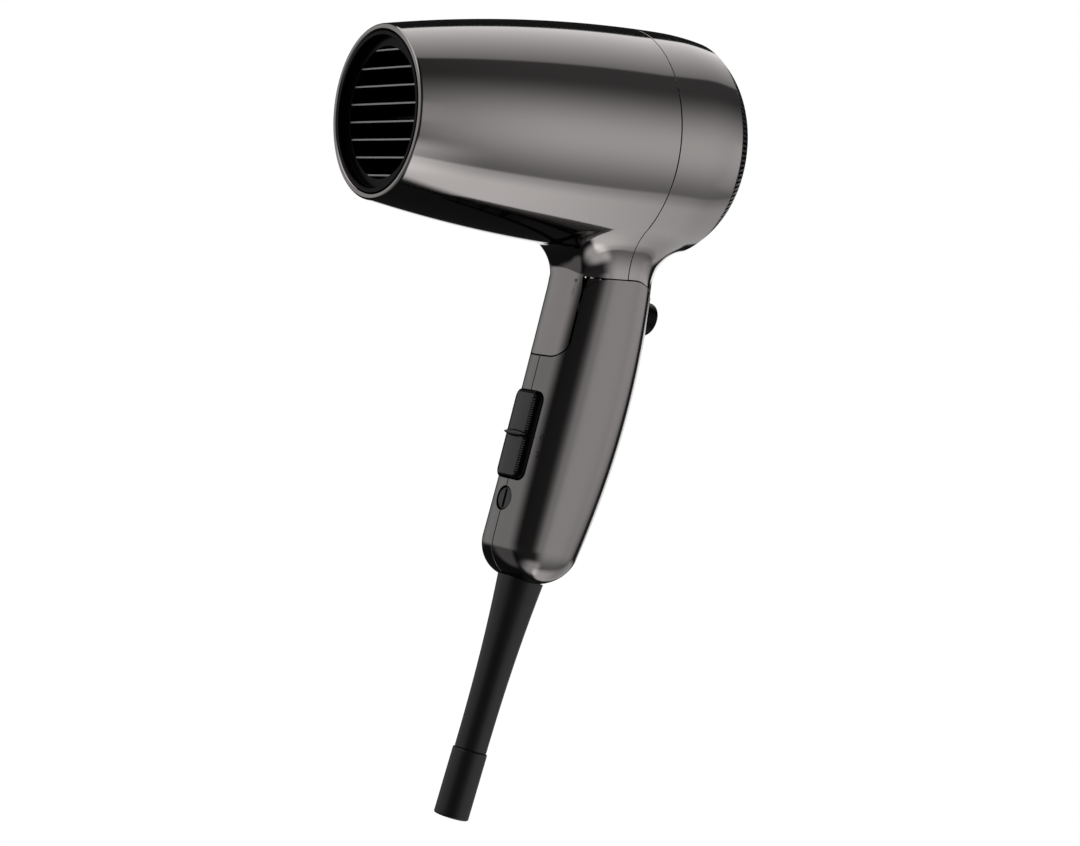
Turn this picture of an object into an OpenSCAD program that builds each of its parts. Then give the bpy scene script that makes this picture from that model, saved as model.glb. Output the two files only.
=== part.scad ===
// Folding travel hair dryer.
// X runs along the barrel: the outlet mouth is the plane x = 0 and faces -X.
// Z is up, y = 0 is the middle plane, and the handle hangs below the barrel.

/* [Barrel] */
// Outside radius of the outlet mouth
mouth_r = 26; // [24:0.5:28]
// Largest outside radius of the barrel
barrel_r = 35.8; // [35:0.1:38]
// Distance from the mouth to the rear end of the barrel
barrel_len = 122; // [112:0.5:134]
// Distance from the rear end to the widest point of the barrel
crown_back = 24; // [22:0.5:27]
// Radius of the arc behind the widest point
rear_arc_r = 70; // [60:1:110]
// Radius of the rounded rear shoulder
shoulder_r = 14.7; // [12.5:0.1:16]
// Angle round the shoulder at which the intake grille begins, in degrees from the barrel axis
rim_angle = 52.7; // [45:0.1:60]
// Distance from the rear end to the seam between the two housings
seam_back = 34.5; // [32:0.5:37]
// Gap that shows as the seam line
seam_gap = 0.3; // [0.1:0.1:0.6]
// Wall of the two housings
shell_wall = 2; // [1.6:0.1:2.6]

/* [Neck] */
// Depth of the neck's lower edge below the barrel axis
joint_drop = 43.9; // [43:0.1:46]
// Depth of the tail's lower edge below the neck's lower edge
tail_drop = 4.9; // [4.5:0.1:5.6]
// Half width of the neck
neck_half_w = 14.2; // [13.6:0.1:15.4]
// Radius of the blend from the neck's front into the barrel
flare_front_r = 8; // [6:0.5:9]
// Radius of the blend from the neck's sides into the barrel
flare_side_r = 20; // [16:0.5:24]
// Radius of the blend from the neck's back into the barrel
flare_back_r = 12; // [9:0.5:13]
// Radius of the round corner where the tail wraps the handle
tail_corner_r = 12; // [10:0.5:13]

/* [Handle] */
// Lean of the handle towards the mouth, in degrees
handle_tilt = 13.5; // [10:0.5:16]
// Distance of the handle axis in front of the rear end, at its reference point
handle_back_x = 36.6; // [34:0.2:39]
// Depth of that reference point below the neck's lower edge
handle_drop = 9.1; // [8.3:0.1:10]
// Length of the handle below its reference point
handle_len = 91; // [82:1:100]
// Distance from the axis to the front face, at the top
front_top = 15.7; // [15:0.1:16.5]
// Distance from the axis to the front face, at the bottom
front_bottom = 13.5; // [12.5:0.1:14.5]
// Greatest distance from the axis to the back face
back_depth = 20.3; // [19.5:0.1:22]
// Depth down the handle of that greatest distance
back_peak = 34; // [30:1:40]
// Radius of the curved back
back_curve_r = 215; // [190:5:320]
// Half width of the handle
grip_half_w = 14.5; // [14:0.1:16]
// Height of the rounded lower end
end_r = 11; // [8:0.5:12]
// How far the lower end draws in at the sides
end_side_r = 7; // [5:0.5:7]
// Squareness of the cross sections: 2 is an ellipse
squareness = 2.5; // [2.2:0.1:3]
// Wall of the handle halves
grip_wall = 2.2; // [1.8:0.1:2.4]
// Thickness of the handle's lower end
end_wall = 3; // [2.4:0.2:4]

/* [Hinge] */
// Distance from the front face to the hinge axis
hinge_depth = 7.8; // [7.2:0.1:8.4]
// Depth of the hinge axis below the neck's lower edge
knuckle_r = 10.1; // [9.9:0.1:10.6]
// Thickness of the handle on each side of the tongue
cheek_t = 4.7; // [4.3:0.1:5.2]
// Length of the tongue below the hinge axis
tongue_len = 15.4; // [13:0.2:16]
// Thickness of the tongue's front plate
tongue_wall = 2.2; // [1.8:0.1:2.6]
// Corner radius of the tongue's lower end
tongue_corner_r = 5; // [3:0.5:6]
// Radius of the hinge pin
pin_r = 2; // [1.6:0.1:2.2]
// Length of the pin inside each handle half
pin_grip = 1.8; // [1.4:0.1:2]

/* [Controls] */
// Length of the slide switch plate
slider_len = 29; // [25:0.5:30]
// Width of the slide switch plate
slider_w = 13.4; // [11:0.2:14]
// Height of the plate above the middle of the handle's front
slider_proud = 1.9; // [1.6:0.1:2.8]
// Travel of the plate to each side of its middle stop
slider_travel = 4.5; // [3:0.5:4.5]
// Distance from the plate's lower end to the middle of the selector dial
slider_rise = 6.2; // [5.6:0.1:7]
// Radius of the selector dial
dial_r = 3.8; // [3.2:0.1:4.2]
// Distance of the dial above the cord clamp
dial_rise = 9.7; // [8.8:0.1:10.6]
// Depth of the dial's face below the handle's front
dial_sink = 0.5; // [0.4:0.1:0.8]
// Radius of the rear push button
button_r = 5.5; // [4.4:0.1:5.7]
// Height of the button above the handle's back
button_proud = 5.6; // [4:0.1:6]
// Distance from the tail down to the top of the button
button_gap = 1.2; // [1:0.1:2]
// Travel of the button
button_travel = 1.6; // [1.2:0.1:1.8]

/* [Cord end] */
// Radius of the hole for the cord
cord_r = 3.2; // [2.6:0.1:3.4]
// Lean of the boot beyond the handle's own lean, in degrees
boot_lean = 1.1; // [0:0.1:2]
// Distance of the boot behind the handle axis
boot_u = 0.7; // [-0.5:0.1:1.5]
// Radius of the boot at the handle
boot_r = 7.5; // [6.8:0.1:7.8]
// Radius of the boot at its tip
boot_tip_r = 5.2; // [5:0.1:5.8]
// Length of the boot outside the handle
boot_len = 55.7; // [45:0.5:65]
// Radius of the end sleeve
sleeve_r = 5.65; // [5.4:0.05:6]
// Length of the end sleeve
sleeve_len = 21.7; // [16:0.5:26]

/* [Air path] */
// Thickness of the outlet ring at the mouth
ring_t = 1.3; // [1:0.1:2]
// Number of bars in the outlet
bar_count = 8; // [6:1:9]
// Spacing of the bars
bar_pitch = 5.3; // [4.6:0.1:5.4]
// Thickness of a bar
bar_t = 1.3; // [1:0.1:1.6]
// Depth of the bars behind the mouth
bar_x = 2.6; // [2:0.1:4]
// Rings of holes in the intake grille
hole_rings = 6; // [4:1:6]
// Radius of a hole in the intake grille
hole_r = 1.65; // [1.2:0.05:1.75]
// Space between the front housing and the mica tube
tube_gap = 2; // [1.8:0.1:2.4]
// Turns of the heater winding
coil_turns = 9; // [6:1:11]
// Outside radius of the motor
motor_r = 14; // [12:0.5:15.5]
// Length of the motor
motor_len = 36; // [30:1:40]
// Space round the fan
fan_gap = 3.5; // [3:0.1:4]
// Length of the fan
fan_len = 11; // [9:0.5:13]
// Number of fan blades
blade_count = 7; // [5:1:9]

/* [Hidden] */

// Clearances: loose seat, sliding control, running shaft, neck to handle, lower end of the tongue, halves
seat = 0.2;
slide_gap = 0.3;
run = 0.04;
joint_gap = 0.4;
tongue_gap = 0.5;
split_gap = 0.1;
// Longer than any piece, for cuts that pass right through
far = 300;
body_grey = [0.36, 0.34, 0.33];
trim_black = [0.07, 0.07, 0.075];
mica = [0.78, 0.7, 0.52];
steel = [0.68, 0.68, 0.7];
brass = [0.76, 0.62, 0.32];
$fn = 64;

// Places along the barrel that follow its rear end
crown_x = barrel_len - crown_back;
seam_x = barrel_len - seam_back;
handle_x = barrel_len - handle_back_x;
// Barrel arcs: the front arc and the rear arc meet at the crown, and the shoulder is tangent
front_arc_r = (pow(crown_x, 2) + pow(barrel_r - mouth_r, 2)) / (2 * (barrel_r - mouth_r));
shoulder_x = barrel_len - shoulder_r;
shoulder_c = barrel_r - rear_arc_r
    + sqrt(pow(rear_arc_r - shoulder_r, 2) - pow(shoulder_x - crown_x, 2));
intake_r = shoulder_c + shoulder_r * sin(rim_angle);
rim_x = shoulder_x + shoulder_r * cos(rim_angle);
function barrel_radius(x) = barrel_r - front_arc_r + sqrt(pow(front_arc_r, 2) - pow(x - crown_x, 2));

// Handle lines in its own frame: u points to the back, s runs down the handle
ref_z = -joint_drop - handle_drop;
front_slope = (front_top - front_bottom) / handle_len;
front_angle = atan(front_slope);
function front_u(s) = front_slope * s - front_top;
function back_u(s) = back_depth - pow(s - back_peak, 2) / (2 * back_curve_r);
function along_front(z) = (ref_z + front_top * sin(handle_tilt) - z)
    / (cos(handle_tilt) + front_slope * sin(handle_tilt));
function down_back(z, guess) = (ref_z - z - back_u(guess) * sin(handle_tilt)) / cos(handle_tilt);
function along_back(z) = down_back(z, down_back(z, down_back(z, 0)));
function place_x(s, u) = handle_x - s * sin(handle_tilt) + u * cos(handle_tilt);
function front_x(z) = place_x(along_front(z), front_u(along_front(z)));
function back_x(z) = place_x(along_back(z), back_u(along_back(z)));

// Joint between neck and handle
joint_z = -joint_drop;
tail_z = joint_z - tail_drop;
neck_front_x = front_x(joint_z);
neck_back_x = back_x(tail_z);
tail_corner_x = neck_back_x - tail_corner_r - shell_wall / 2;
hinge_z = joint_z - knuckle_r;
hinge_x = front_x(hinge_z) + hinge_depth;
tongue_z = hinge_z - tongue_len;
tongue_half_w = grip_half_w - cheek_t;
knuckle_wall = 2.6;
knuckle_boss_r = pin_r + knuckle_wall;
slot_back = knuckle_boss_r + 1;
slot_low_z = tongue_z - tongue_gap;
swing_tip = [front_x(slot_low_z) - hinge_x, slot_low_z - hinge_z];
handle_top_s = -14;

function signed_power(v, e) = sign(v) * pow(abs(v), e);
function oval_point(front, back, half_w, a) = [
    (front + back) / 2 + (back - front) / 2 * signed_power(cos(a), 2 / squareness),
    half_w * signed_power(sin(a), 2 / squareness)
];
// Share of the end rounding that has been used up at s, from 0 to 1
function end_share(s, end) = let (q = (s - end + end_r) / end_r) q <= 0 ? 0 : 1 - sqrt(max(0, 1 - q * q));
function handle_front(s, inset, end) = front_u(s) + inset + (end_r - inset) * end_share(s, end);
function handle_back(s, inset, end) = back_u(s) - inset - (end_r - inset) * end_share(s, end);
function handle_half(s, inset, end) =
    grip_half_w - inset - (end_side_r - inset) * end_share(s, end);
function handle_stations(end, steps, end_steps) = concat(
    [for (i = [0 : steps]) handle_top_s + (end - end_r - handle_top_s) * i / steps],
    [for (k = [1 : end_steps]) end - end_r + end_r * sin(90 * k / end_steps)]
);
// Half section on one side of the middle plane, closed along that plane
function half_ring(s, inset, end, side, count) = [
    for (i = [0 : count])
        let (k = side > 0 ? i : count - i,
             p = oval_point(handle_front(s, inset, end), handle_back(s, inset, end),
                            handle_half(s, inset, end), 180 * k / count))
        [p[0], side * max(p[1], split_gap / 2), -s]
];
function full_ring(s, inset, count) = [
    for (i = [0 : count - 1])
        let (p = oval_point(front_u(s) + inset, back_u(s) - inset, grip_half_w - inset, 360 * i / count))
        [p[0], p[1], -s]
];

// Neck sections are level, and flare into the barrel by quarter circles
function flare(z, start, r) = z <= start ? 0 : r - sqrt(max(0, r * r - pow(z - start, 2)));
flare_front_z = -barrel_radius(neck_front_x - flare_front_r) - flare_front_r;
flare_back_z = -sqrt(pow(shoulder_r, 2) - pow(neck_back_x + flare_back_r - shoulder_x, 2))
    - shoulder_c - flare_back_r;
neck_top_z = -24;
// The side blend is tangent to the barrel, and follows its surface above the point of tangency
side_r = barrel_radius(neck_front_x);
flare_side_z = -sqrt(pow(side_r + flare_side_r, 2) - pow(neck_half_w + flare_side_r, 2));
side_meet_z = flare_side_z * side_r / (side_r + flare_side_r);
function neck_half(z) = z > side_meet_z ? sqrt(side_r * side_r - z * z)
    : neck_half_w + flare(z, flare_side_z, flare_side_r);
function neck_ring(z, inset, count) = [
    for (i = [0 : count - 1])
        let (p = oval_point(neck_front_x - flare(z, flare_front_z, flare_front_r) + inset,
                            neck_back_x + flare(z, flare_back_z, flare_back_r) - inset,
                            neck_half(z) - inset,
                            360 * i / count))
        [p[0], p[1], z]
];
function neck_levels(steps) = concat([hinge_z - 2, joint_z - 1],
    [for (i = [0 : steps]) joint_z + (neck_top_z - joint_z) * i / steps]);

// Solid through a stack of rings, each listed from the lowest up
module loft(rings) {
    n = len(rings[0]);
    m = len(rings);
    polyhedron(
        points = [for (r = rings) each r],
        faces = concat(
            [[for (i = [0 : n - 1]) i]],
            [for (j = [0 : m - 2]) for (i = [0 : n - 1])
                let (a = j * n + i, b = j * n + (i + 1) % n) each [[a, a + n, b + n], [a, b + n, b]]],
            [[for (i = [n - 1 : -1 : 0]) (m - 1) * n + i]]
        )
    );
}
function backwards(list) = [for (i = [len(list) - 1 : -1 : 0]) list[i]];

module in_handle() {
    translate([handle_x, 0, ref_z]) rotate([0, handle_tilt, 0]) children();
}
// Frame on the handle's front face at s: x points into the handle, z up along the face
module on_front(s) {
    in_handle() translate([front_u(s), 0, -s]) rotate([0, -front_angle, 0]) children();
}
// Frame at the handle's lower end: z runs up the boot's axis
module on_boot() {
    in_handle() translate([boot_u, 0, -handle_len]) rotate([0, boot_lean, 0]) children();
}
// Frame on the handle's back face at s: x points out of the handle
module on_back(s) {
    in_handle() translate([back_u(s), 0, -s]) children();
}
module side_view(width) {
    rotate([90, 0, 0]) linear_extrude(width, center = true) children();
}
module along_x(x0, x1) {
    translate([x0, 0, 0]) rotate([90, 0, 90]) linear_extrude(x1 - x0) children();
}
module rod_x(r, x0, x1) {
    translate([x0, 0, 0]) rotate([0, 90, 0]) cylinder(r = r, h = x1 - x0);
}
module rod_y(r, y0, y1) {
    translate([0, y0, 0]) rotate([-90, 0, 0]) cylinder(r = r, h = y1 - y0);
}
module box(x0, x1, y0, y1, z0, z1) {
    translate([x0, y0, z0]) cube([x1 - x0, y1 - y0, z1 - z0]);
}

// Half outline of the barrel, radius across and length up, drawn in by inset
module barrel_outline(inset) {
    rear_c = [barrel_r - rear_arc_r, crown_x];
    lean = [shoulder_c, shoulder_x] - rear_c;
    reach = rear_arc_r * 1.2;
    intersection() {
        translate([barrel_r - front_arc_r, crown_x]) circle(front_arc_r - inset, $fn = 720);
        square([barrel_r, crown_x]);
    }
    intersection() {
        translate(rear_c) circle(rear_arc_r - inset, $fn = 240);
        polygon([rear_c, rear_c + [reach, 0], rear_c + lean * reach / norm(lean)]);
        square([barrel_r, barrel_len]);
    }
    translate([shoulder_c, shoulder_x]) circle(shoulder_r - inset);
    translate([0, crown_x]) square([shoulder_c, barrel_len - inset - crown_x]);
}
// Ring of the barrel's wall between two insets and two places along X
module barrel_ring(outer, inner, x0, x1) {
    rotate([0, 90, 0]) rotate_extrude($fn = 120) intersection() {
        difference() {
            barrel_outline(outer);
            barrel_outline(inner);
        }
        translate([0, x0]) square([barrel_r, x1 - x0]);
    }
}
module barrel_solid(inset, x0 = 0, x1 = barrel_len) {
    rotate([0, 90, 0]) rotate_extrude($fn = 120) intersection() {
        barrel_outline(inset);
        translate([0, x0]) square([barrel_r, x1 - x0]);
    }
}
module neck_solid(inset, count, steps) {
    loft([for (z = neck_levels(steps)) neck_ring(z, inset, count)]);
}
// Side view of the space under the neck: level at the front, and round under the tail
module neck_cut() {
    translate([hinge_x - far / 2, hinge_z - far]) square([far, far + tail_z - hinge_z]);
    translate([hinge_x - far / 2, hinge_z]) square([far / 2 + tail_corner_x - hinge_x, knuckle_r]);
    translate([tail_corner_x, joint_z - tail_corner_r]) circle(tail_corner_r);
}
// Side view of the handle's top, with a round front corner about the hinge
module joint_shape(gap) {
    translate([hinge_x - far / 2, hinge_z - far]) square([far, far]);
    translate([hinge_x, hinge_z - 1]) square([far / 2, tail_z - gap - hinge_z + 1]);
    translate([hinge_x, hinge_z]) circle(knuckle_r - gap);
    translate([hinge_x, hinge_z - 1]) square([tail_corner_x - hinge_x, knuckle_r - gap + 1]);
    translate([tail_corner_x, joint_z - tail_corner_r]) circle(tail_corner_r - gap);
}
// Front view of the tongue between two levels, with a round lower end, grown by gap
module tongue_shape(gap, low, top) {
    r = tongue_corner_r + gap;
    half = tongue_half_w + gap;
    translate([-half, low + r]) square([2 * half, top - low - r]);
    translate([r - half, low]) square([2 * (half - r), top - low]);
    for (side = [-1, 1]) translate([side * (half - r), low + r]) circle(r);
}
// Side view of the swing of the tongue's lower end
module swing_shape() {
    translate([hinge_x, hinge_z]) intersection() {
        circle(norm(swing_tip) - 0.05);
        polygon([[0, 0], 2 * swing_tip, [0, -3 * tongue_len]]);
    }
}
module tongue() {
    intersection() {
        in_handle() difference() {
            loft([for (s = [1.7, 0.9, 0.3, -0.3, handle_top_s / tongue_len])
                full_ring(s * tongue_len, 0, 40)]);
            loft([for (s = [1.8, 0.3, handle_top_s / tongue_len - 0.1])
                full_ring(s * tongue_len, tongue_wall, 32)]);
        }
        along_x(hinge_x - far / 2, hinge_x) tongue_shape(0, tongue_z, joint_z + shell_wall);
    }
    // Side walls from the plate back to the hinge
    intersection() {
        in_handle() loft([for (s = [1.7, 0.3, handle_top_s / tongue_len])
            full_ring(s * tongue_len, tongue_wall / 2, 40)]);
        along_x(hinge_x - far / 2, hinge_x) difference() {
            wall_z = tongue_z + tongue_corner_r;
            translate([-tongue_half_w, wall_z]) square([2 * tongue_half_w, joint_z + shell_wall - wall_z]);
            square([2 * (tongue_half_w - tongue_wall), far], center = true);
        }
    }
    // Knuckle round the pin, on a web behind the plate
    translate([hinge_x, 0, hinge_z]) {
        rod_y(knuckle_boss_r, -tongue_half_w, tongue_half_w);
        box(tongue_wall / 2 - hinge_depth, 0, -tongue_half_w + tongue_wall, tongue_half_w - tongue_wall,
            -pin_r - 1, pin_r + 1);
    }
}
module housing(x0, x1) {
    difference() {
        union() {
            barrel_ring(0, shell_wall, x0, x1);
            intersection() {
                difference() {
                    neck_solid(0, 40, 10);
                    barrel_solid(shell_wall);
                }
                box(x0, x1, -far / 2, far / 2, -far, 0);
            }
        }
        neck_solid(shell_wall, 32, 7);
        side_view(far) neck_cut();
    }
}

module front_housing() {
    color(body_grey) difference() {
        union() {
            housing(0, seam_x - seam_gap / 2);
            tongue();
        }
        translate([hinge_x, 0, hinge_z]) rod_y(pin_r + run, -far / 2, far / 2);
    }
}
module rear_housing() {
    color(body_grey) housing(seam_x + seam_gap / 2, rim_x);
}

bar_depth = 7.2;
bar_step = 2.4;
tube_t = 0.6;
tube_front_x = bar_x + bar_depth + 0.7;
tube_r = barrel_radius(tube_front_x) - shell_wall - tube_gap;
ring_rear_x = tube_front_x + 4.5;
outlet_bore_r = mouth_r - shell_wall - seat / 2 - ring_t;
module outlet_grille() {
    color(trim_black) {
        difference() {
            barrel_solid(shell_wall + seat / 2, 0, ring_rear_x);
            rod_x(outlet_bore_r, -1, bar_x);
            rod_x(outlet_bore_r - bar_step, bar_x - 1, ring_rear_x + 1);
            rod_x(tube_r + seat / 2, tube_front_x - seat, ring_rear_x + 1);
        }
        intersection() {
            rod_x(outlet_bore_r, bar_x, bar_x + bar_depth);
            for (i = [0 : bar_count - 1]) translate([0, 0, (i - (bar_count - 1) / 2) * bar_pitch])
                box(bar_x, bar_x + bar_depth, -mouth_r, mouth_r, -bar_t / 2, bar_t / 2);
        }
    }
}

grille_t = 1.8;
lip_t = 1.5;
rim_band = 4;
module intake_grille() {
    pitch = (intake_r - rim_band) / (hole_rings + 0.4);
    color(trim_black) {
        difference() {
            barrel_ring(0, grille_t, rim_x + seat, barrel_len);
            for (ring = [0 : hole_rings]) for (i = [0 : max(1, 6 * ring) - 1])
                rotate([360 * (i + ring / 2) / max(1, 6 * ring), 0, 0])
                    translate([0, 0, ring * pitch]) rod_x(hole_r, rim_x, barrel_len + 1);
        }
        // Lip inside the housing's rim, and the step that joins it to the dome
        barrel_ring(shell_wall + seat, shell_wall + seat + lip_t, rim_x - grille_lip, rim_x + seat + 1);
        barrel_ring(0, shell_wall + seat + lip_t, rim_x + seat, rim_x + seat + 1.2);
    }
}

module heat_shield() {
    color(mica) difference() {
        rod_x(tube_r, tube_front_x, tube_end_x);
        rod_x(tube_r - tube_t, tube_front_x - 1, tube_end_x + 1);
    }
}

// Chain of places from the intake forward: fan, motor, mica tube
grille_lip = 5;
fan_clear = 1.2;
fan_x1 = rim_x - grille_lip - fan_clear;
fan_x0 = fan_x1 - fan_len;
fan_r = shoulder_c + shoulder_r - shell_wall - fan_gap;
motor_x1 = fan_x0 - 3;
motor_x0 = motor_x1 - motor_len;
tube_end_x = motor_x0 - 4;

board_t = 0.9;
board_x0 = tube_front_x + 5.5;
board_tab = 4;
wire_r = 0.55;
notch = 1.1;
winding_r = tube_r - tube_t - board_tab;
coil_r = winding_r - notch + wire_r + 0.1;
coil_space = 2;
coil_x0 = board_x0 + board_tab + coil_space;
coil_pitch = (tube_end_x - board_tab - coil_x0 - 2 * coil_space) / coil_turns;
board_x1 = tube_end_x - coil_space;
module heater_frame() {
    tab_r = tube_r - tube_t - seat;
    color(mica) difference() {
        for (turn = [0, 90]) rotate([turn, 0, 0]) {
            box(board_x0, board_x1, -board_t / 2, board_t / 2, -winding_r, winding_r);
            for (x = [board_x0, board_x1 - board_tab])
                box(x, x + board_tab, -board_t / 2, board_t / 2, -tab_r, tab_r);
        }
        for (i = [0 : 4 * coil_turns]) rotate([90 * i, 0, 0])
            translate([coil_x0 + coil_pitch * i / 4, 0, winding_r])
                cube([2 * wire_r + 0.4, 2 * board_t, 2 * notch], center = true);
    }
}

// Round wire along a helix about X, as rings of points
function helix_point(a, r, pitch, x0) = [x0 + pitch * a / 360, -r * sin(a), r * cos(a)];
function helix_ring(a, r, pitch, x0, wire, sides) = [
    for (k = [0 : sides - 1])
        let (t = 360 * k / sides, q = r + wire * cos(t))
        helix_point(a, q, pitch, x0) + [wire * sin(t), 0, 0]
];
module helix(turns, r, pitch, x0, wire, steps, sides) {
    loft([for (i = [0 : turns * steps]) helix_ring(360 * i / steps, r, pitch, x0, wire, sides)]);
}
function helix_gap(r, pitch, wire) = let (start = helix_point(0, r, pitch, 0))
    min([for (a = [300 : 15 : 420]) norm(helix_point(a, r, pitch, 0) - start)]) - 2 * wire;
module heater_coil() {
    echo(heater_coil_gap = helix_gap(coil_r, coil_pitch, wire_r));
    color(steel) helix(coil_turns, coil_r, coil_pitch, coil_x0, wire_r, 24, 6);
}

thermostat_w = 8;
thermostat_t = 3.4;
thermostat_z = 8;
cap_r = 3.2;
cap_t = 1.6;
module thermostat() {
    x1 = board_x1 - board_tab - 1;
    color(steel) translate([x1 - thermostat_w / 2, board_t / 2 + seat / 2, thermostat_z]) {
        box(-thermostat_w / 2, thermostat_w / 2, 0, thermostat_t, -thermostat_w / 2, thermostat_w / 2);
        rod_y(cap_r, thermostat_t / 2, thermostat_t + cap_t);
    }
}
fuse_r = 1.7;
fuse_len = 10;
fuse_lead_r = 0.5;
fuse_lead = 4;
fuse_z = -9;
module thermal_fuse() {
    x1 = board_x1 - board_tab - fuse_lead + coil_space;
    color(brass) translate([x1 - fuse_len, -board_t / 2 - seat / 2 - fuse_r, fuse_z]) {
        rod_x(fuse_r, 0, fuse_len);
        rod_x(fuse_lead_r, -fuse_lead, fuse_len + fuse_lead);
    }
}

mount_len = 16;
mount_t = 2;
mount_spoke = 1.8;
module motor_mount() {
    x0 = seam_x - mount_len / 2;
    color(trim_black) {
        barrel_ring(shell_wall + seat, shell_wall + seat + mount_t, x0, x0 + mount_len);
        difference() {
            union() {
                rod_x(motor_r + mount_t, x0, x0 + mount_len);
                for (i = [0 : 4]) rotate([72 * i, 0, 0]) box(x0 + mount_t, x0 + mount_len - mount_t,
                    -mount_spoke / 2, mount_spoke / 2, motor_r + mount_t / 2,
                    barrel_radius(x0) - shell_wall - seat - mount_t / 2);
            }
            rod_x(motor_r + seat / 2, x0 - 1, x0 + mount_len + 1);
        }
    }
}

shaft_r = 1.5;
motor_wall = 2;
armature_gap = 3;
module motor() {
    color(steel) difference() {
        union() {
            rod_x(motor_r, motor_x0, motor_x1);
            rod_x(4.5, motor_x0 - 2, motor_x1 + 1.6);
        }
        rod_x(motor_r - motor_wall, motor_x0 + motor_wall, motor_x1 - motor_wall);
        rod_x(shaft_r + run, motor_x0, motor_x1 + 2);
    }
}
module motor_shaft() {
    armature_r = motor_r - motor_wall - armature_gap;
    color(steel) {
        rod_x(shaft_r, motor_x0 + seat, fan_x1);
        rod_x(armature_r, motor_x0 + motor_wall + armature_gap, motor_x1 - motor_wall - 2 * armature_gap);
    }
}
hub_r = 9;
blade_t = 1.5;
blade_half = 12;
blade_lean = 38;
blade_end = 0.5;
module fan() {
    color(trim_black) difference() {
        union() {
            rod_x(hub_r, fan_x0, fan_x1);
            intersection() {
                for (i = [0 : blade_count - 1]) rotate([360 * i / blade_count, 0, 0])
                    translate([(fan_x0 + fan_x1) / 2, 0, 0]) rotate([0, 0, blade_lean])
                        box(-blade_t / 2, blade_t / 2, -blade_half, blade_half,
                            hub_r - blade_t, fan_r + blade_t);
                rod_x(fan_r, fan_x0 + blade_end, fan_x1 - blade_end);
            }
        }
        rod_x(shaft_r + run / 2, fan_x0 - 1, fan_x1 + 1);
    }
}
rectifier_r = 12;
rectifier_t = 1.6;
rectifier_gap = 2.2;
diode_r = 1.4;
diode_len = 5;
diode_y = 6;
diode_z = 5;
module rectifier_board() {
    board_x = motor_x0 - rectifier_gap - rectifier_t;
    color([0.1, 0.3, 0.16]) {
        rod_x(rectifier_r, board_x, board_x + rectifier_t);
        for (side = [-1, 1]) translate([0, diode_y * side, diode_z])
            rod_x(diode_r, board_x - diode_len, board_x + rectifier_t / 2);
    }
}

// Positions inside the handle, in its own frame
button_s = along_back(tail_z - button_gap - button_r);
button_in = 6;
// Chain of places up the handle from its lower end: clamp, dial, slide switch
clamp_rise = 14;
clamp_s = handle_len - clamp_rise;
dial_s = clamp_s - dial_rise;
slider_s = dial_s - slider_rise - slider_len / 2;
dial_depth = grip_wall + 0.8;
stem_w = 4;
stem_len = 6;
stem_in = grip_wall + 4;
slot_half_w = stem_w / 2 + slide_gap;
slot_half_len = stem_len / 2 + slider_travel + slide_gap;
stem_tip = 2;
ridge_r = 1.1;
switch_depth = 11;
switch_half_w = 6.5;
switch_half_len = slider_len / 2 + 0.5;
switch_front = 1.8;
// Radius across the handle's front, through its middle and the edges of the plate
front_drop = (back_u(slider_s) - front_u(slider_s)) / 2
    * (1 - pow(1 - pow(slider_w / 2 / grip_half_w, squareness), 1 / squareness));
saddle_r = (pow(slider_w / 2, 2) + pow(front_drop, 2)) / (2 * front_drop);
boot_neck_r = 5.2;
flange_r = 7.2;
flange_t = 2.5;
// Screw posts between the halves: depth down the handle and distance behind the axis
post_rise = 11;
posts = [[back_peak, 11], [clamp_s - post_rise, 10]];
post_r = 3.2;
screw_head_r = 2.6;
screw_head_t = 1.8;
screw_r = 1.3;
screw_reach = 8.5;
head_y = 5.6;
cross_w = 0.6;
clamp_u = 7.2;
clamp_end = 2.6;
clamp_t = 3;
clamp_half_h = 3;
clamp_screw_r = 0.9;
clamp_post_r = 2.4;

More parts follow.
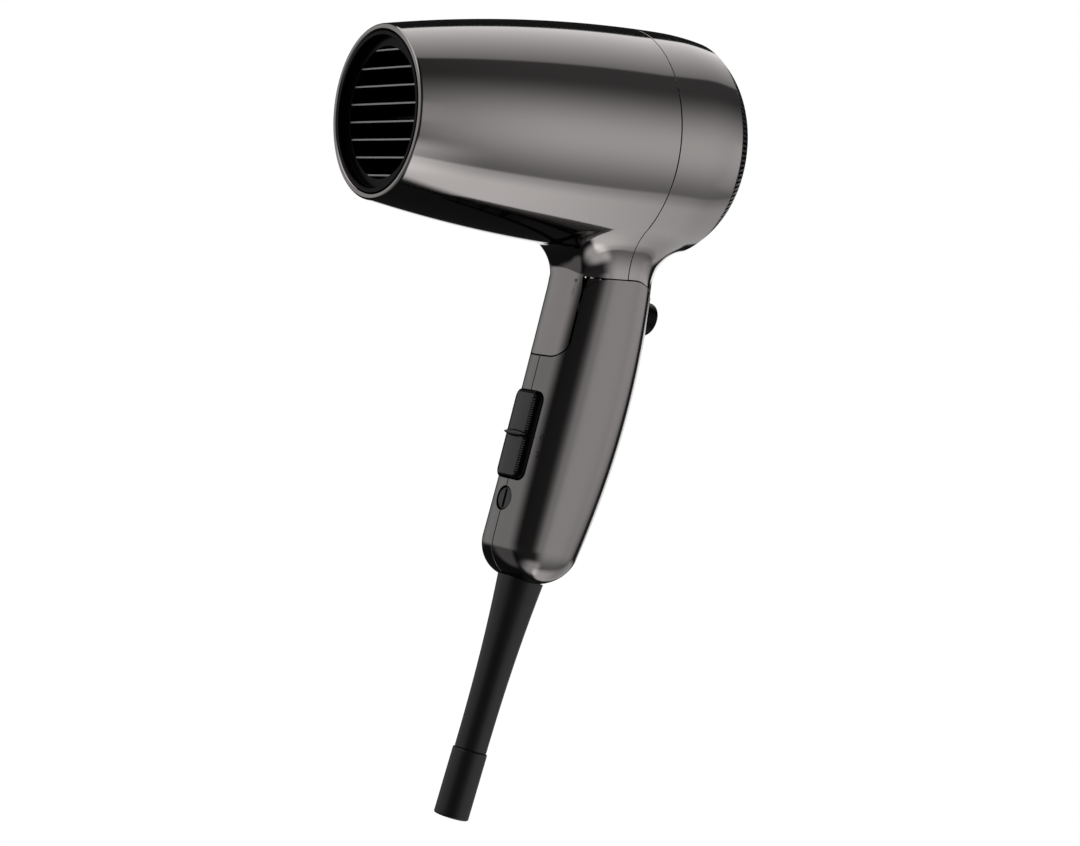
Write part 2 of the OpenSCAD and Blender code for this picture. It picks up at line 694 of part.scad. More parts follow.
module handle_loft(side, inset, end, count, steps, end_steps) {
    in_handle() loft(backwards([for (s = handle_stations(end, steps, end_steps))
        half_ring(s, inset, end, side, count)]));
}
module handle_half_shell(side) {
    difference() {
        union() {
            difference() {
                intersection() {
                    handle_loft(side, 0, handle_len, 22, 14, 7);
                    side_view(far) joint_shape(joint_gap);
                }
                intersection() {
                    handle_loft(side, grip_wall, handle_len - end_wall, 16, 8, 5);
                    side_view(far) joint_shape(joint_gap + grip_wall);
                }
            }
            // Boss that carries the hinge pin, and posts for the screws
            intersection() {
                handle_loft(side, grip_wall / 2, handle_len - 1, 16, 8, 5);
                union() {
                    translate([hinge_x, 0, hinge_z]) rod_y(knuckle_boss_r, -far / 2, far / 2);
                    for (p = posts) in_handle() translate([p[1], 0, -p[0]]) rod_y(post_r, -far / 2, far / 2);
                }
            }
        }
        // Slot for the tongue, open to the front and top, and cleared for the swing of its lower end
        along_x(hinge_x - far / 2, hinge_x + slot_back) tongue_shape(slide_gap, slot_low_z, 0);
        side_view(2 * (tongue_half_w + slide_gap)) swing_shape();
        translate([hinge_x, 0, hinge_z])
            rod_y(pin_r + run, -tongue_half_w - slide_gap - pin_grip, tongue_half_w + slide_gap + pin_grip);
        // Way for the leads through the roof
        box(tail_corner_x - 7, tail_corner_x + 3, -6, 6, hinge_z - 2, 0);
        on_front(slider_s) box(-1, stem_in, -slot_half_w, slot_half_w, -slot_half_len, slot_half_len);
        on_front(dial_s) rod_x(dial_r + seat, -2, dial_depth + 3);
        on_back(button_s) rod_x(button_r + seat, -button_in - button_travel - slide_gap, 6);
        // Hole for the boot's neck, and the seat for its flange
        on_boot() translate([0, 0, -1]) cylinder(r = boot_neck_r + seat / 2, h = end_wall + 2);
        on_boot() translate([0, 0, end_wall]) cylinder(r = flange_r + seat, h = flange_t + 3);
        for (p = posts) in_handle() translate([p[1], 0, -p[0]]) {
            rod_y(screw_r + run, -screw_reach - seat, head_y);
            rod_y(screw_head_r + seat, head_y - seat, far / 2);
        }
    }
}
module handle_left() {
    color(body_grey) {
        handle_half_shell(-1);
        // Posts that the cord clamp is screwed to
        intersection() {
            handle_loft(-1, grip_wall / 2, handle_len - 1, 16, 8, 5);
            in_handle() for (side = [-1, 1]) translate([side * clamp_u, 0, -clamp_s]) difference() {
                rod_y(clamp_post_r, -far / 2, -split_gap);
                rod_y(clamp_screw_r + run, -screw_reach, 1);
            }
        }
    }
}
module handle_right() {
    color(body_grey) handle_half_shell(1);
}

module hinge_pin() {
    reach = tongue_half_w + slide_gap + pin_grip - seat / 2;
    color(steel) translate([hinge_x, 0, hinge_z]) rod_y(pin_r, -reach, reach);
}

module switch_slider() {
    half_w = slider_w / 2;
    half_len = slider_len / 2;
    corner = 3;
    color(trim_black) on_front(slider_s) {
        difference() {
            rotate([0, -90, 0]) translate([0, 0, -front_drop]) linear_extrude(slider_proud + front_drop) {
                square([slider_len - 2 * corner, slider_w], center = true);
                square([slider_len, slider_w - 2 * corner], center = true);
                for (a = [-1, 1]) for (b = [-1, 1])
                    translate([a * (half_len - corner), b * (half_w - corner)]) circle(corner);
            }
            // Hollow underside that follows the handle's front
            translate([saddle_r - slide_gap, 0, 0]) cylinder(r = saddle_r, h = far, center = true, $fn = 360);
        }
        // Ridge across the middle for the thumb
        translate([-slider_proud, 0, 0]) rod_y(ridge_r, 1 - half_w, half_w - 1);
        box(-slider_proud / 2, stem_in + stem_tip, -stem_w / 2, stem_w / 2, -stem_len / 2, stem_len / 2);
    }
}
module switch_body() {
    front = grip_wall + switch_front;
    color(trim_black) on_front(slider_s) difference() {
        box(front, front + switch_depth, -switch_half_w, switch_half_w, -switch_half_len, switch_half_len);
        box(front - 1, stem_in + stem_tip + slide_gap, -slot_half_w, slot_half_w,
            -slot_half_len, slot_half_len);
    }
}
dial_stem_r = 1.6;
dial_stem_len = 6;
selector_depth = 8;
selector_half_w = 6;
selector_half_h = 4.6;
module voltage_selector() {
    slot_half = dial_r - 0.7;
    color(trim_black) on_front(dial_s) difference() {
        union() {
            rod_x(dial_r, dial_sink, dial_depth + 0.4);
            rod_x(dial_r + 1.2, dial_depth + 0.4, dial_depth + 1.6);
            rod_x(dial_stem_r, dial_depth, dial_depth + dial_stem_len);
        }
        // Slot for a coin, in line with the handle
        box(0, dial_sink + 1, -0.6, 0.6, -slot_half, slot_half);
    }
}
module selector_body() {
    front = dial_depth + 1.6 + slide_gap;
    color(trim_black) on_front(dial_s) difference() {
        box(front, front + selector_depth, -selector_half_w, selector_half_w,
            -selector_half_h, selector_half_h);
        rod_x(dial_stem_r + run, 0, dial_depth + dial_stem_len + seat);
    }
}
module cool_button() {
    ear = button_r + 1.4;
    crown_r = 16;
    color(trim_black) on_back(button_s) {
        rotate([0, 90, 0]) rotate_extrude() intersection() {
            translate([0, button_proud - crown_r]) circle(crown_r, $fn = 180);
            translate([0, -button_in]) square([button_r, button_in + button_proud]);
        }
        box(-button_in, -grip_wall - 2.4, -ear, ear, -2, 2);
    }
}
spring_turns = 4;
spring_r = 2.4;
spring_wire = 0.35;
spring_pitch = 1.4;
spring_len = spring_turns * spring_pitch;
spring_x0 = -button_in - spring_len - spring_wire - 0.1;
module cool_spring() {
    color(steel) on_back(button_s)
        helix(spring_turns, spring_r, spring_pitch, spring_x0, spring_wire, 16, 6);
}
module cool_switch() {
    rear = spring_x0 - spring_wire - 0.1;
    color(trim_black) on_back(button_s) {
        box(rear - 6, rear, -5, 5, -5, 4);
        rod_x(1.4, rear - 1, -button_in - button_travel - slide_gap);
    }
}

spigot_r = 4.4;
spigot_len = 6;
module strain_relief() {
    top = -end_wall - flange_t - seat;
    tip = seat + boot_len;
    color(trim_black) on_boot() mirror([0, 0, 1]) rotate_extrude($fn = 72) polygon([
        [cord_r, top], [flange_r, top], [flange_r, top + flange_t], [boot_neck_r, top + flange_t],
        [boot_neck_r, seat], [boot_r - 0.6, seat], [boot_r, seat + 0.8], [boot_tip_r, tip],
        [spigot_r, tip], [spigot_r, tip + spigot_len], [cord_r, tip + spigot_len]
    ]);
}
module boot_sleeve() {
    top = seat + boot_len + seat / 2;
    end = top + sleeve_len;
    socket = top + spigot_len + seat;
    color(trim_black) on_boot() mirror([0, 0, 1]) rotate_extrude($fn = 72) polygon([
        [spigot_r + seat / 2, top], [sleeve_r, top], [sleeve_r, top + 5], [sleeve_r - 0.2, top + 5.4],
        [sleeve_r - 0.2, end - 0.5], [sleeve_r - 0.7, end], [cord_r, end], [cord_r, socket],
        [spigot_r + seat / 2, socket]
    ]);
}
module cord_clamp() {
    reach = clamp_u + clamp_end;
    color(trim_black) in_handle() translate([0, 0, -clamp_s]) difference() {
        box(-reach, reach, 0, clamp_t, -clamp_half_h, clamp_half_h);
        for (side = [-1, 1]) translate([side * clamp_u, 0, 0]) rod_y(clamp_screw_r + seat, -1, clamp_t + 1);
        translate([0, -cord_r / 2, 0]) cylinder(r = cord_r, h = far, center = true);
    }
}
module clamp_screws() {
    under = clamp_t + seat / 2;
    color(steel) in_handle() for (side = [-1, 1]) translate([side * clamp_u, 0, -clamp_s]) {
        rod_y(clamp_screw_r, seat - screw_reach, under);
        rod_y(2 * clamp_screw_r, under, under + clamp_screw_r);
    }
}
module handle_screws() {
    top = head_y + screw_head_t;
    cross = 0.6 * screw_head_r;
    color(steel) in_handle() for (p = posts) translate([p[1], 0, -p[0]]) difference() {
        union() {
            rod_y(screw_r, -screw_reach, head_y);
            rod_y(screw_head_r, head_y, top);
        }
        for (turn = [0, 90]) rotate([0, turn, 0])
            box(-cross, cross, head_y + screw_head_t / 2, top + 1, -cross_w / 2, cross_w / 2);
    }
}

front_housing();
rear_housing();
outlet_grille();
intake_grille();
heat_shield();
heater_frame();
heater_coil();
thermostat();
thermal_fuse();
motor_mount();
motor();
motor_shaft();
fan();
rectifier_board();
handle_left();
handle_right();
hinge_pin();
switch_slider();
switch_body();
voltage_selector();
selector_body();
cool_button();
cool_spring();
cool_switch();
strain_relief();
boot_sleeve();
cord_clamp();
clamp_screws();
handle_screws();
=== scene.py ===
"""Folding travel hair dryer: shells, controls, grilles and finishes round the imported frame."""

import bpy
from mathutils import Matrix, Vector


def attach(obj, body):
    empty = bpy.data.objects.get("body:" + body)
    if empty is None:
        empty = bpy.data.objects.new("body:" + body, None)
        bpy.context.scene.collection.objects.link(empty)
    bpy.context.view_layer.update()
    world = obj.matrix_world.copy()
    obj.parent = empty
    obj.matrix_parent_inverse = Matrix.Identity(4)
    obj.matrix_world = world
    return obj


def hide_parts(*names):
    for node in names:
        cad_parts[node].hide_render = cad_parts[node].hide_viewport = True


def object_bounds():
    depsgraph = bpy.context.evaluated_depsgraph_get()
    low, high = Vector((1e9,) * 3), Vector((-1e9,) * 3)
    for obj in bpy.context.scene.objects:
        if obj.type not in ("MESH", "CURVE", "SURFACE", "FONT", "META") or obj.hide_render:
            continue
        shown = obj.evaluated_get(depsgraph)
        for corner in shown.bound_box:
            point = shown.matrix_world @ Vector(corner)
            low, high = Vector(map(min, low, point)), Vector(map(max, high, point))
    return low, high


bl_info = {
    "name": "Folding travel hair dryer",
    "version": (1, 0, 0),
    "blender": (4, 5, 0),
    "location": "3D View > Sidebar > Dryer",
    "description": "Models the dryer's shells, controls and grilles, finishes them and lights them",
    "category": "Object",
}

import math

import bmesh
import bpy
from mathutils import Matrix, Vector

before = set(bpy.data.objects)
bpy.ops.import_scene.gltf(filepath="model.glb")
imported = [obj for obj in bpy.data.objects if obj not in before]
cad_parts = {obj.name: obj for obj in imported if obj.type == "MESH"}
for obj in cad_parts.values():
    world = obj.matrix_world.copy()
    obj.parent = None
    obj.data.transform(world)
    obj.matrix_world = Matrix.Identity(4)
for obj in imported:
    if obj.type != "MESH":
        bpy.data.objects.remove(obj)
CAD_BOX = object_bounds()

# Pieces are modelled in millimetres and brought to metres when they are finished.
MM = 0.001

# Fixed sizes in millimetres
MERGE = 1e-4
NOSE_R = 9.45
NOSE_BEHIND_HINGE = 4.1
KNUCKLE_ROD_R = 4.6
CHEEK_PLATE_T = 2.2
CHEEK_INSET = 0.35
BOOT_HOLE_R = 5.3
BOOT_PLUG_R = 4.4
BOOT_PLUG_LEN = 6
SCREW_HOLE_R = 2.8
SCREW_HOLE_START = 7.0
MESH_T = 0.9
NECK_EDGE = 0.32

# The size of a text whose numerals are 1 high
TEXT_SIZE_FOR_HEIGHT = 1.4

# Facets round the turned pieces
BARREL_FACETS = 192
RING_FACETS = 160
BOOT_FACETS = 96
KNOB_FACETS = 64


# Panel sizes

def length(label, about, metres):
    return bpy.props.FloatProperty(name=label, description=about, default=metres, min=0.0,
                                   precision=5, subtype="DISTANCE", unit="LENGTH")


def angle(label, about, degrees):
    return bpy.props.FloatProperty(name=label, description=about, default=math.radians(degrees),
                                   subtype="ANGLE", unit="ROTATION")


def number(label, about, value):
    return bpy.props.FloatProperty(name=label, description=about, default=value)


def count(label, about, value):
    return bpy.props.IntProperty(name=label, description=about, default=value, min=1)


def colour(label, about, rgb):
    return bpy.props.FloatVectorProperty(name=label, description=about, default=rgb, size=3,
                                         min=0.0, max=1.0, subtype="COLOR")


class BarrelSizes(bpy.types.PropertyGroup):
    mouth_r: length("Mouth radius", "Outside radius of the outlet mouth", 0.026)
    barrel_r: length("Barrel radius", "Largest outside radius of the barrel", 0.0358)
    barrel_len: length("Barrel length", "From the mouth to the rear end", 0.122)
    crown_back: length("Crown", "From the rear end to the widest point", 0.024)
    rear_arc_r: length("Rear arc", "Radius of the arc behind the widest point", 0.087)
    shoulder_r: length("Shoulder", "Radius of the intake's rounded shoulder", 0.0147)
    rim_angle: angle("Rim angle", "Where the intake begins, round the shoulder", 68.2)
    collar_angle: angle("Collar angle", "Where the intake's collar ends and its mesh begins", 44.0)
    slot_pitch: length("Slot pitch", "Spacing of the slots round the collar", 0.0016)
    slot_bar: length("Slot bars", "Width of the bars between the collar's slots", 0.0008)
    collar_t: length("Collar thickness", "Thickness of the collar", 0.0015)
    seam_back: length("Seam", "From the rear end to the seam between the housings", 0.0345)
    seam_gap: length("Seam gap", "Width of the seam line", 0.0003)
    shell_wall: length("Wall", "Wall of the housings", 0.002)
    joint_drop: length("Neck depth", "From the barrel axis to the neck's lower edge", 0.0439)
    tail_drop: length("Tail depth", "From the neck's lower edge to the tail's", 0.0049)
    neck_half_w: length("Neck half width", "Half width of the neck", 0.0142)
    flare_front_r: length("Front blend", "Blend of the neck's front into the barrel", 0.008)
    flare_side_r: length("Side blend", "Blend of the neck's sides into the barrel", 0.02)
    flare_back_r: length("Back blend", "Blend of the neck's back into the barrel", 0.012)
    tail_corner_r: length("Tail corner", "Round corner where the tail wraps the handle", 0.012)
    ring_t: length("Outlet ring", "Thickness of the outlet ring", 0.0013)
    bar_count: count("Bars", "Bars in the outlet", 8)
    bar_pitch: length("Bar pitch", "Spacing of the bars", 0.0053)
    bar_t: length("Bar thickness", "Thickness of a bar", 0.0013)
    bar_x: length("Bar depth", "Depth of the bars behind the mouth", 0.0026)
    bar_depth: length("Bar length", "Length of the bars along the barrel", 0.0072)
    bar_step: length("Bar shoulder", "Width of the shoulder that carries the bars", 0.003)
    mesh_pitch: length("Mesh pitch", "Spacing of the holes in the intake mesh", 0.0019)
    mesh_hole_r: length("Mesh hole", "Radius of a hole in the intake mesh", 0.00062)


class HandleSizes(bpy.types.PropertyGroup):
    handle_tilt: angle("Lean", "Lean of the handle towards the mouth", 13.5)
    handle_back_x: length("Place", "Handle axis in front of the rear end", 0.0366)
    handle_drop: length("Depth", "Reference point below the neck's lower edge", 0.0091)
    handle_len: length("Length", "Length of the handle below its reference point", 0.091)
    front_top: length("Front, top", "From the axis to the front face at the top", 0.0157)
    front_bottom: length("Front, bottom", "From the axis to the front face at the bottom", 0.0135)
    back_depth: length("Back", "Greatest distance from the axis to the back face", 0.0203)
    back_peak: length("Back peak", "Depth of that greatest distance", 0.034)
    back_curve_r: length("Back curve", "Radius of the curved back", 0.215)
    grip_half_w: length("Half width", "Half width of the handle", 0.0145)
    end_r: length("End", "Height of the rounded lower end", 0.011)
    end_side_r: length("End sides", "How far the lower end draws in at the sides", 0.0078)
    squareness: number("Squareness", "Squareness of the cross sections: 2 is an ellipse", 2.5)
    grip_wall: length("Wall", "Wall of the handle halves", 0.0022)
    end_wall: length("End wall", "Thickness of the lower end", 0.003)
    split_gap: length("Split", "Gap between the handle halves", 0.0001)
    hinge_depth: length("Hinge depth", "From the front face to the hinge axis", 0.0078)
    knuckle_r: length("Knuckle", "Hinge axis below the neck's lower edge", 0.0101)
    cheek_t: length("Cheek", "Handle on each side of the tongue", 0.0047)
    tongue_len: length("Tongue", "Tongue below the hinge axis", 0.0154)
    tongue_wall: length("Tongue wall", "Thickness of the tongue's plate", 0.0022)
    tongue_corner_r: length("Tongue corner", "Corner radius of the tongue's lower end", 0.005)
    joint_gap: length("Joint gap", "Gap between neck and handle", 0.0004)
    tongue_gap: length("Tongue gap", "Gap under the tongue's lower end", 0.0005)
    slide_gap: length("Sliding gap", "Gap beside the sliding and turning pieces", 0.0003)


class ControlSizes(bpy.types.PropertyGroup):
    slider_len: length("Plate length", "Length of the slide switch plate", 0.029)
    slider_w: length("Plate width", "Width of the slide switch plate", 0.0134)
    slider_proud: length("Plate height", "Height of the plate above the handle's front", 0.0019)
    slider_corner: length("Plate corner", "Corner radius of the plate", 0.003)
    slider_rise: length("Plate place", "From the plate's lower end to the dial", 0.0062)
    dial_r: length("Dial", "Radius of the selector dial", 0.0038)
    dial_rise: length("Dial place", "Dial above the cord clamp", 0.0097)
    dial_sink: length("Dial depth", "Dial's face below the handle's front", 0.0005)
    clamp_rise: length("Clamp", "Cord clamp above the lower end", 0.014)
    button_r: length("Button", "Radius of the rear push button", 0.0055)
    button_proud: length("Button height", "Button above the handle's back", 0.0056)
    button_gap: length("Button place", "From the tail down to the button", 0.0012)
    boot_lean: angle("Boot lean", "Lean of the boot beyond the handle's", 1.1)
    boot_u: length("Boot place", "Boot behind the handle axis", 0.0007)
    boot_r: length("Boot", "Radius of the boot at the handle", 0.0075)
    boot_tip_r: length("Boot tip", "Radius of the boot at its tip", 0.0052)
    boot_len: length("Boot length", "Length of the boot outside the handle", 0.0557)
    sleeve_r: length("Sleeve", "Radius of the end sleeve", 0.00565)
    sleeve_len: length("Sleeve length", "Length of the end sleeve", 0.0217)
    cord_r: length("Cord hole", "Radius of the hole for the cord", 0.0032)
    seat: length("Seat", "Clearance of pieces that sit in each other", 0.0002)
    numeral_size: length("Numerals", "Height of the position numerals", 0.002)


class DryerColours(bpy.types.PropertyGroup):
    gunmetal: colour("Gunmetal", "Metallic paint of the shells", (0.36, 0.338, 0.332))
    # The grip colour is the shells' gunmetal made darker: painted shade, as the handle takes less light than
    # the barrel.
    grip: colour("Grip", "Metallic paint of the handle", (0.25, 0.236, 0.232))
    trim: colour("Trim", "Black plastic of the grilles and controls", (0.006, 0.006, 0.0065))
    plate: colour("Plate", "Top of the slide switch and dial", (0.06, 0.058, 0.058))
    boot: colour("Boot", "Rubber of the cord boot", (0.0035, 0.0035, 0.0038))
    steel: colour("Steel", "Bare steel", (0.56, 0.56, 0.57))
    brass: colour("Brass", "Fuse body", (0.72, 0.52, 0.23))
    mica: colour("Mica", "Heat-proof boards and tube", (0.02, 0.016, 0.012))
    board: colour("Board", "Circuit board", (0.02, 0.11, 0.05))
    floor: colour("Floor", "Floor of the studio", (0.9, 0.9, 0.9))


# Lines of the object

def signed_power(value, exponent):
    return math.copysign(abs(value) ** exponent, value)


def ease(value):
    value = min(1.0, max(0.0, value))
    return value * value * (3 - 2 * value)


class Lines:
    """The dryer's lines in millimetres, worked out from the panel's sizes."""

    def __init__(self):
        scene = bpy.context.scene
        for group in (scene.dryer_barrel, scene.dryer_handle, scene.dryer_controls):
            for name in type(group).__annotations__:
                value = getattr(group, name)
                setattr(self, name, value / MM if group.bl_rna.properties[name].unit == "LENGTH" else value)
        self.crown_x = self.barrel_len - self.crown_back
        self.seam_x = self.barrel_len - self.seam_back
        self.handle_x = self.barrel_len - self.handle_back_x
        rise = self.barrel_r - self.mouth_r
        self.front_arc_r = (self.crown_x ** 2 + rise ** 2) / (2 * rise)
        self.shoulder_x = self.barrel_len - self.shoulder_r
        reach = self.rear_arc_r - self.shoulder_r
        self.shoulder_c = (self.barrel_r - self.rear_arc_r
                           + math.sqrt(reach ** 2 - (self.shoulder_x - self.crown_x) ** 2))
        self.rim_x = self.shoulder_x + self.shoulder_r * math.cos(self.rim_angle)
        self.collar_r = self.shoulder_c + self.shoulder_r * math.sin(self.collar_angle)
        self.ref_z = -self.joint_drop - self.handle_drop
        self.front_slope = (self.front_top - self.front_bottom) / self.handle_len
        self.front_angle = math.atan(self.front_slope)
        self.joint_z = -self.joint_drop
        self.tail_z = self.joint_z - self.tail_drop
        self.hinge_z = self.joint_z - self.knuckle_r
        self.hinge_x = self.front_x(self.hinge_z) + self.hinge_depth
        self.tail_corner_x = self.back_x(self.tail_z) - self.tail_corner_r - self.shell_wall / 2
        self.tongue_z = self.hinge_z - self.tongue_len
        self.nose_x = self.hinge_x + NOSE_BEHIND_HINGE
        self.tongue_half_w = self.grip_half_w - self.cheek_t
        self.outlet_bore_r = self.mouth_r - self.shell_wall - self.seat / 2 - self.ring_t
        self.clamp_s = self.handle_len - self.clamp_rise
        self.dial_s = self.clamp_s - self.dial_rise
        self.slider_s = self.dial_s - self.slider_rise - self.slider_len / 2
        self.button_s = self.along_back(self.tail_z - self.button_gap - self.button_r)

    # Barrel: a front arc and a rear arc meet at the crown
    def arc_at(self, x, r):
        """Centre and radius of the outline's arc that faces a point beside the barrel."""
        rear = (self.crown_x, self.barrel_r - self.rear_arc_r)
        turn = math.atan2(x - rear[0], r - rear[1])
        if turn < 0:
            return (self.crown_x, self.barrel_r - self.front_arc_r), self.front_arc_r
        return rear, self.rear_arc_r

    def barrel_radius(self, x, inset=0.0):
        radius = self.front_arc_r if x <= self.crown_x else self.rear_arc_r
        return self.barrel_r - radius + math.sqrt((radius - inset) ** 2 - (x - self.crown_x) ** 2)

    def off_barrel(self, point):
        """Distance of a point from the barrel's surface, and the way out."""
        r = math.hypot(point.y, point.z)
        centre, radius = self.arc_at(point.x, r)
        away = Vector((point.x - centre[0], r - centre[1]))
        out = away.normalized()
        return away.length - radius, Vector((out.x, out.y * point.y / r, out.y * point.z / r))

    # Handle: u points to the back, s runs down the handle
    def front_u(self, s):
        return self.front_slope * s - self.front_top

    def back_u(self, s):
        return self.back_depth - (s - self.back_peak) ** 2 / (2 * self.back_curve_r)

    def along_back(self, z):
        s = 0.0
        for _ in range(4):
            s = (self.ref_z - z - self.back_u(s) * math.sin(self.handle_tilt)) / math.cos(self.handle_tilt)
        return s

    def place(self, u, y, s):
        sin, cos = math.sin(self.handle_tilt), math.cos(self.handle_tilt)
        return Vector((self.handle_x + u * cos - s * sin, y, self.ref_z - u * sin - s * cos))

    def in_handle(self, point):
        """The handle's own coordinates of a point: u, y, s."""
        sin, cos = math.sin(self.handle_tilt), math.cos(self.handle_tilt)
        x, z = point.x - self.handle_x, self.ref_z - point.z
        return x * cos + z * sin, point.y, z * cos - x * sin

    def front_x(self, z):
        tilt = self.handle_tilt
        s = (self.ref_z + self.front_top * math.sin(tilt) - z) / (
            math.cos(tilt) + self.front_slope * math.sin(tilt))
        return self.place(self.front_u(s), 0, s).x

    def back_x(self, z):
        s = self.along_back(z)
        return self.place(self.back_u(s), 0, s).x

    def section(self, s, inset=0.0, end=None):
        """Front, back and half width of the handle at s."""
        end = self.handle_len if end is None else end
        q = (s - end + self.end_r) / self.end_r
        share = 0.0 if q <= 0 else 1 - math.sqrt(max(0.0, 1 - q * q))
        front = self.front_u(s) + inset + (self.end_r - inset) * share
        back = self.back_u(s) - inset - (self.end_r - inset) * share
        half = self.grip_half_w - inset - (self.end_side_r - inset) * share
        return front, back, half

    def oval(self, front, back, half, turn):
        """Point of a squarish oval: turn 0 is at the front, pi at the back."""
        e = 2 / self.squareness
        return ((front + back) / 2 - (back - front) / 2 * signed_power(math.cos(turn), e),
                half * signed_power(math.sin(turn), e))

    def level(self, u, y, s):
        """Below 0 inside the handle's outer surface, above 0 outside."""
        front, back, half = self.section(min(s, self.handle_len - 0.05))
        return (abs((2 * u - front - back) / (back - front)) ** self.squareness
                + abs(y / half) ** self.squareness - 1)

    def way_out(self, u, y, s):
        """Outward direction of the handle's outer surface."""
        h = 0.02
        du = self.level(u + h, y, s) - self.level(u - h, y, s)
        dy = self.level(u, y + h, s) - self.level(u, y - h, s)
        ds = self.level(u, y, s + h) - self.level(u, y, s - h)
        origin = self.place(0, 0, 0)
        return (self.place(du, dy, ds) - origin).normalized()

    def front_frame(self, s):
        """Origin on the handle's front at s, with the ways in, across and up."""
        lean = self.handle_tilt - self.front_angle
        into = Vector((math.cos(lean), 0, -math.sin(lean)))
        up = Vector((math.sin(lean), 0, math.cos(lean)))
        return self.place(self.front_u(s), 0, s), into, Vector((0, 1, 0)), up

    def boot_frame(self):
        """Top of the boot's axis at the handle's end, and the way down it."""
        lean = self.handle_tilt + self.boot_lean
        return (self.place(self.boot_u, 0, self.handle_len),
                Vector((-math.sin(lean), 0, -math.cos(lean))))


# Modelling steps

def deselect():
    if bpy.context.object and bpy.context.object.mode != "OBJECT":
        bpy.ops.object.mode_set(mode="OBJECT")
    bpy.ops.object.select_all(action="DESELECT")


def pick(obj):
    deselect()
    obj.select_set(True)
    bpy.context.view_layer.objects.active = obj
    return obj


def edit_all(obj, operator, **settings):
    """Runs one edit mode operator on the whole of a piece."""
    pick(obj)
    bpy.ops.object.mode_set(mode="EDIT")
    bpy.ops.mesh.select_all(action="SELECT")
    operator(**settings)
    bpy.ops.object.mode_set(mode="OBJECT")
    return obj


def first_ring(name, points):
    """A circle whose points are put in place, left in edit mode for extruding."""
    deselect()
    bpy.ops.mesh.primitive_circle_add(vertices=len(points), radius=1.0)
    obj = bpy.context.object
    obj.name = obj.data.name = name
    bpy.ops.object.mode_set(mode="EDIT")
    mesh = bmesh.from_edit_mesh(obj.data)
    column = mesh.verts.layers.int.new("column")
    mesh.verts.ensure_lookup_table()
    for i, point in enumerate(points):
        mesh.verts[i][column] = i
        mesh.verts[i].co = point
    bmesh.update_edit_mesh(obj.data)
    return obj


def next_ring(obj, points):
    """Extrudes the selected edges and puts each new point in its place."""
    bpy.ops.mesh.extrude_edges_indiv()
    mesh = bmesh.from_edit_mesh(obj.data)
    column = mesh.verts.layers.int["column"]
    for vert in mesh.verts:
        if vert.select:
            vert.co = points[vert[column]]


def close_up(obj, caps=False):
    """Merges what meets, closes open ends if asked, and turns the faces outwards."""
    bpy.ops.mesh.select_all(action="SELECT")
    bpy.ops.mesh.remove_doubles(threshold=MERGE)
    if caps:
        bpy.ops.mesh.select_all(action="SELECT")
        bpy.ops.mesh.fill_holes(sides=0)
        bpy.ops.mesh.select_all(action="SELECT")
    bpy.ops.mesh.normals_make_consistent(inside=False)
    bpy.ops.object.mode_set(mode="OBJECT")
    layer = obj.data.attributes.get("column")
    if layer:
        obj.data.attributes.remove(layer)
    return obj


def loft(name, rings, caps=False):
    obj = first_ring(name, rings[0])
    for ring in rings[1:]:
        next_ring(obj, ring)
    return close_up(obj, caps)


def turned(name, profile, steps, place, closed=True):
    """Turns an outline of (along, radius) points round an axis that place() sets."""
    turns = [2 * math.pi * i / steps for i in range(steps)]
    rings = [[place(a, r * math.cos(t), r * math.sin(t)) for t in turns] for a, r in profile]
    return loft(name, rings + rings[:1] if closed else rings)


def along_x(a, y, z):
    return Vector((a, y, z))


def from_side(x, z, y):
    """Place of a point of a side view, pushed across."""
    return Vector((x, y, z))


def steps_between(low, high, number_of_steps):
    return [low + (high - low) * i / number_of_steps for i in range(number_of_steps + 1)]


def soften(points, corners, steps=4, hold=0.08):
    """A closed outline with its named corners rounded: corners gives a radius for each index."""
    points = [Vector(p) for p in points]
    soft = []
    for i, p in enumerate(points):
        radius = corners.get(i)
        if not radius:
            soft.append(p)
            continue
        a = (points[i - 1] - p).normalized()
        b = (points[(i + 1) % len(points)] - p).normalized()
        half = a.angle(b) / 2
        back = radius / math.tan(half)
        centre = p + (a + b).normalized() * radius / math.sin(half)
        start, stop = p + a * back - centre, p + b * back - centre
        sweep = start.angle_signed(stop)
        soft.append(p + a * (back + hold))
        for k in range(steps + 1):
            t = -sweep * k / steps
            soft.append(centre + Vector((start.x * math.cos(t) - start.y * math.sin(t),
                                         start.x * math.sin(t) + start.y * math.cos(t))))
        soft.append(p + b * (back + hold))
    return [tuple(p) for p in soft]


def prism(name, outline, place, low, high):
    """A flat outline pushed from low to high by place(a, b, depth)."""
    return loft(name, [[place(a, b, depth) for a, b in outline] for depth in (low, high)], caps=True)


def rod(name, start, way, radius, low, high, steps=48):
    """A round cutter along a direction."""
    side = way.orthogonal().normalized()
    other = way.cross(side)
    turns = [2 * math.pi * i / steps for i in range(steps)]
    outline = [(radius * math.cos(t), radius * math.sin(t)) for t in turns]
    return prism(name, outline, lambda a, b, d: start + side * a + other * b + way * d, low, high)


def modify(obj, kind, **settings):
    pick(obj)
    modifier = obj.modifiers.new(kind.title(), kind)
    for name, value in settings.items():
        setattr(modifier, name, value)
    bpy.ops.object.modifier_apply(modifier=modifier.name)
    return obj


def carve(obj, cutter, operation="DIFFERENCE"):
    modify(obj, "BOOLEAN", object=cutter, operation=operation, solver="EXACT")
    bpy.data.objects.remove(cutter)
    return obj


def thicken(obj, wall):
    return modify(obj, "SOLIDIFY", thickness=wall, offset=-1.0, use_even_offset=True)


def round_edges(obj, width, segments=3, sharper_than=40):
    pick(obj)
    bpy.ops.object.shade_smooth()
    return modify(obj, "BEVEL", width=width, segments=segments, limit_method="ANGLE",
                  angle_limit=math.radians(sharper_than), harden_normals=True)


def smooth(obj, sharper_than=35):
    pick(obj)
    bpy.ops.object.shade_smooth_by_angle(angle=math.radians(sharper_than))
    return obj


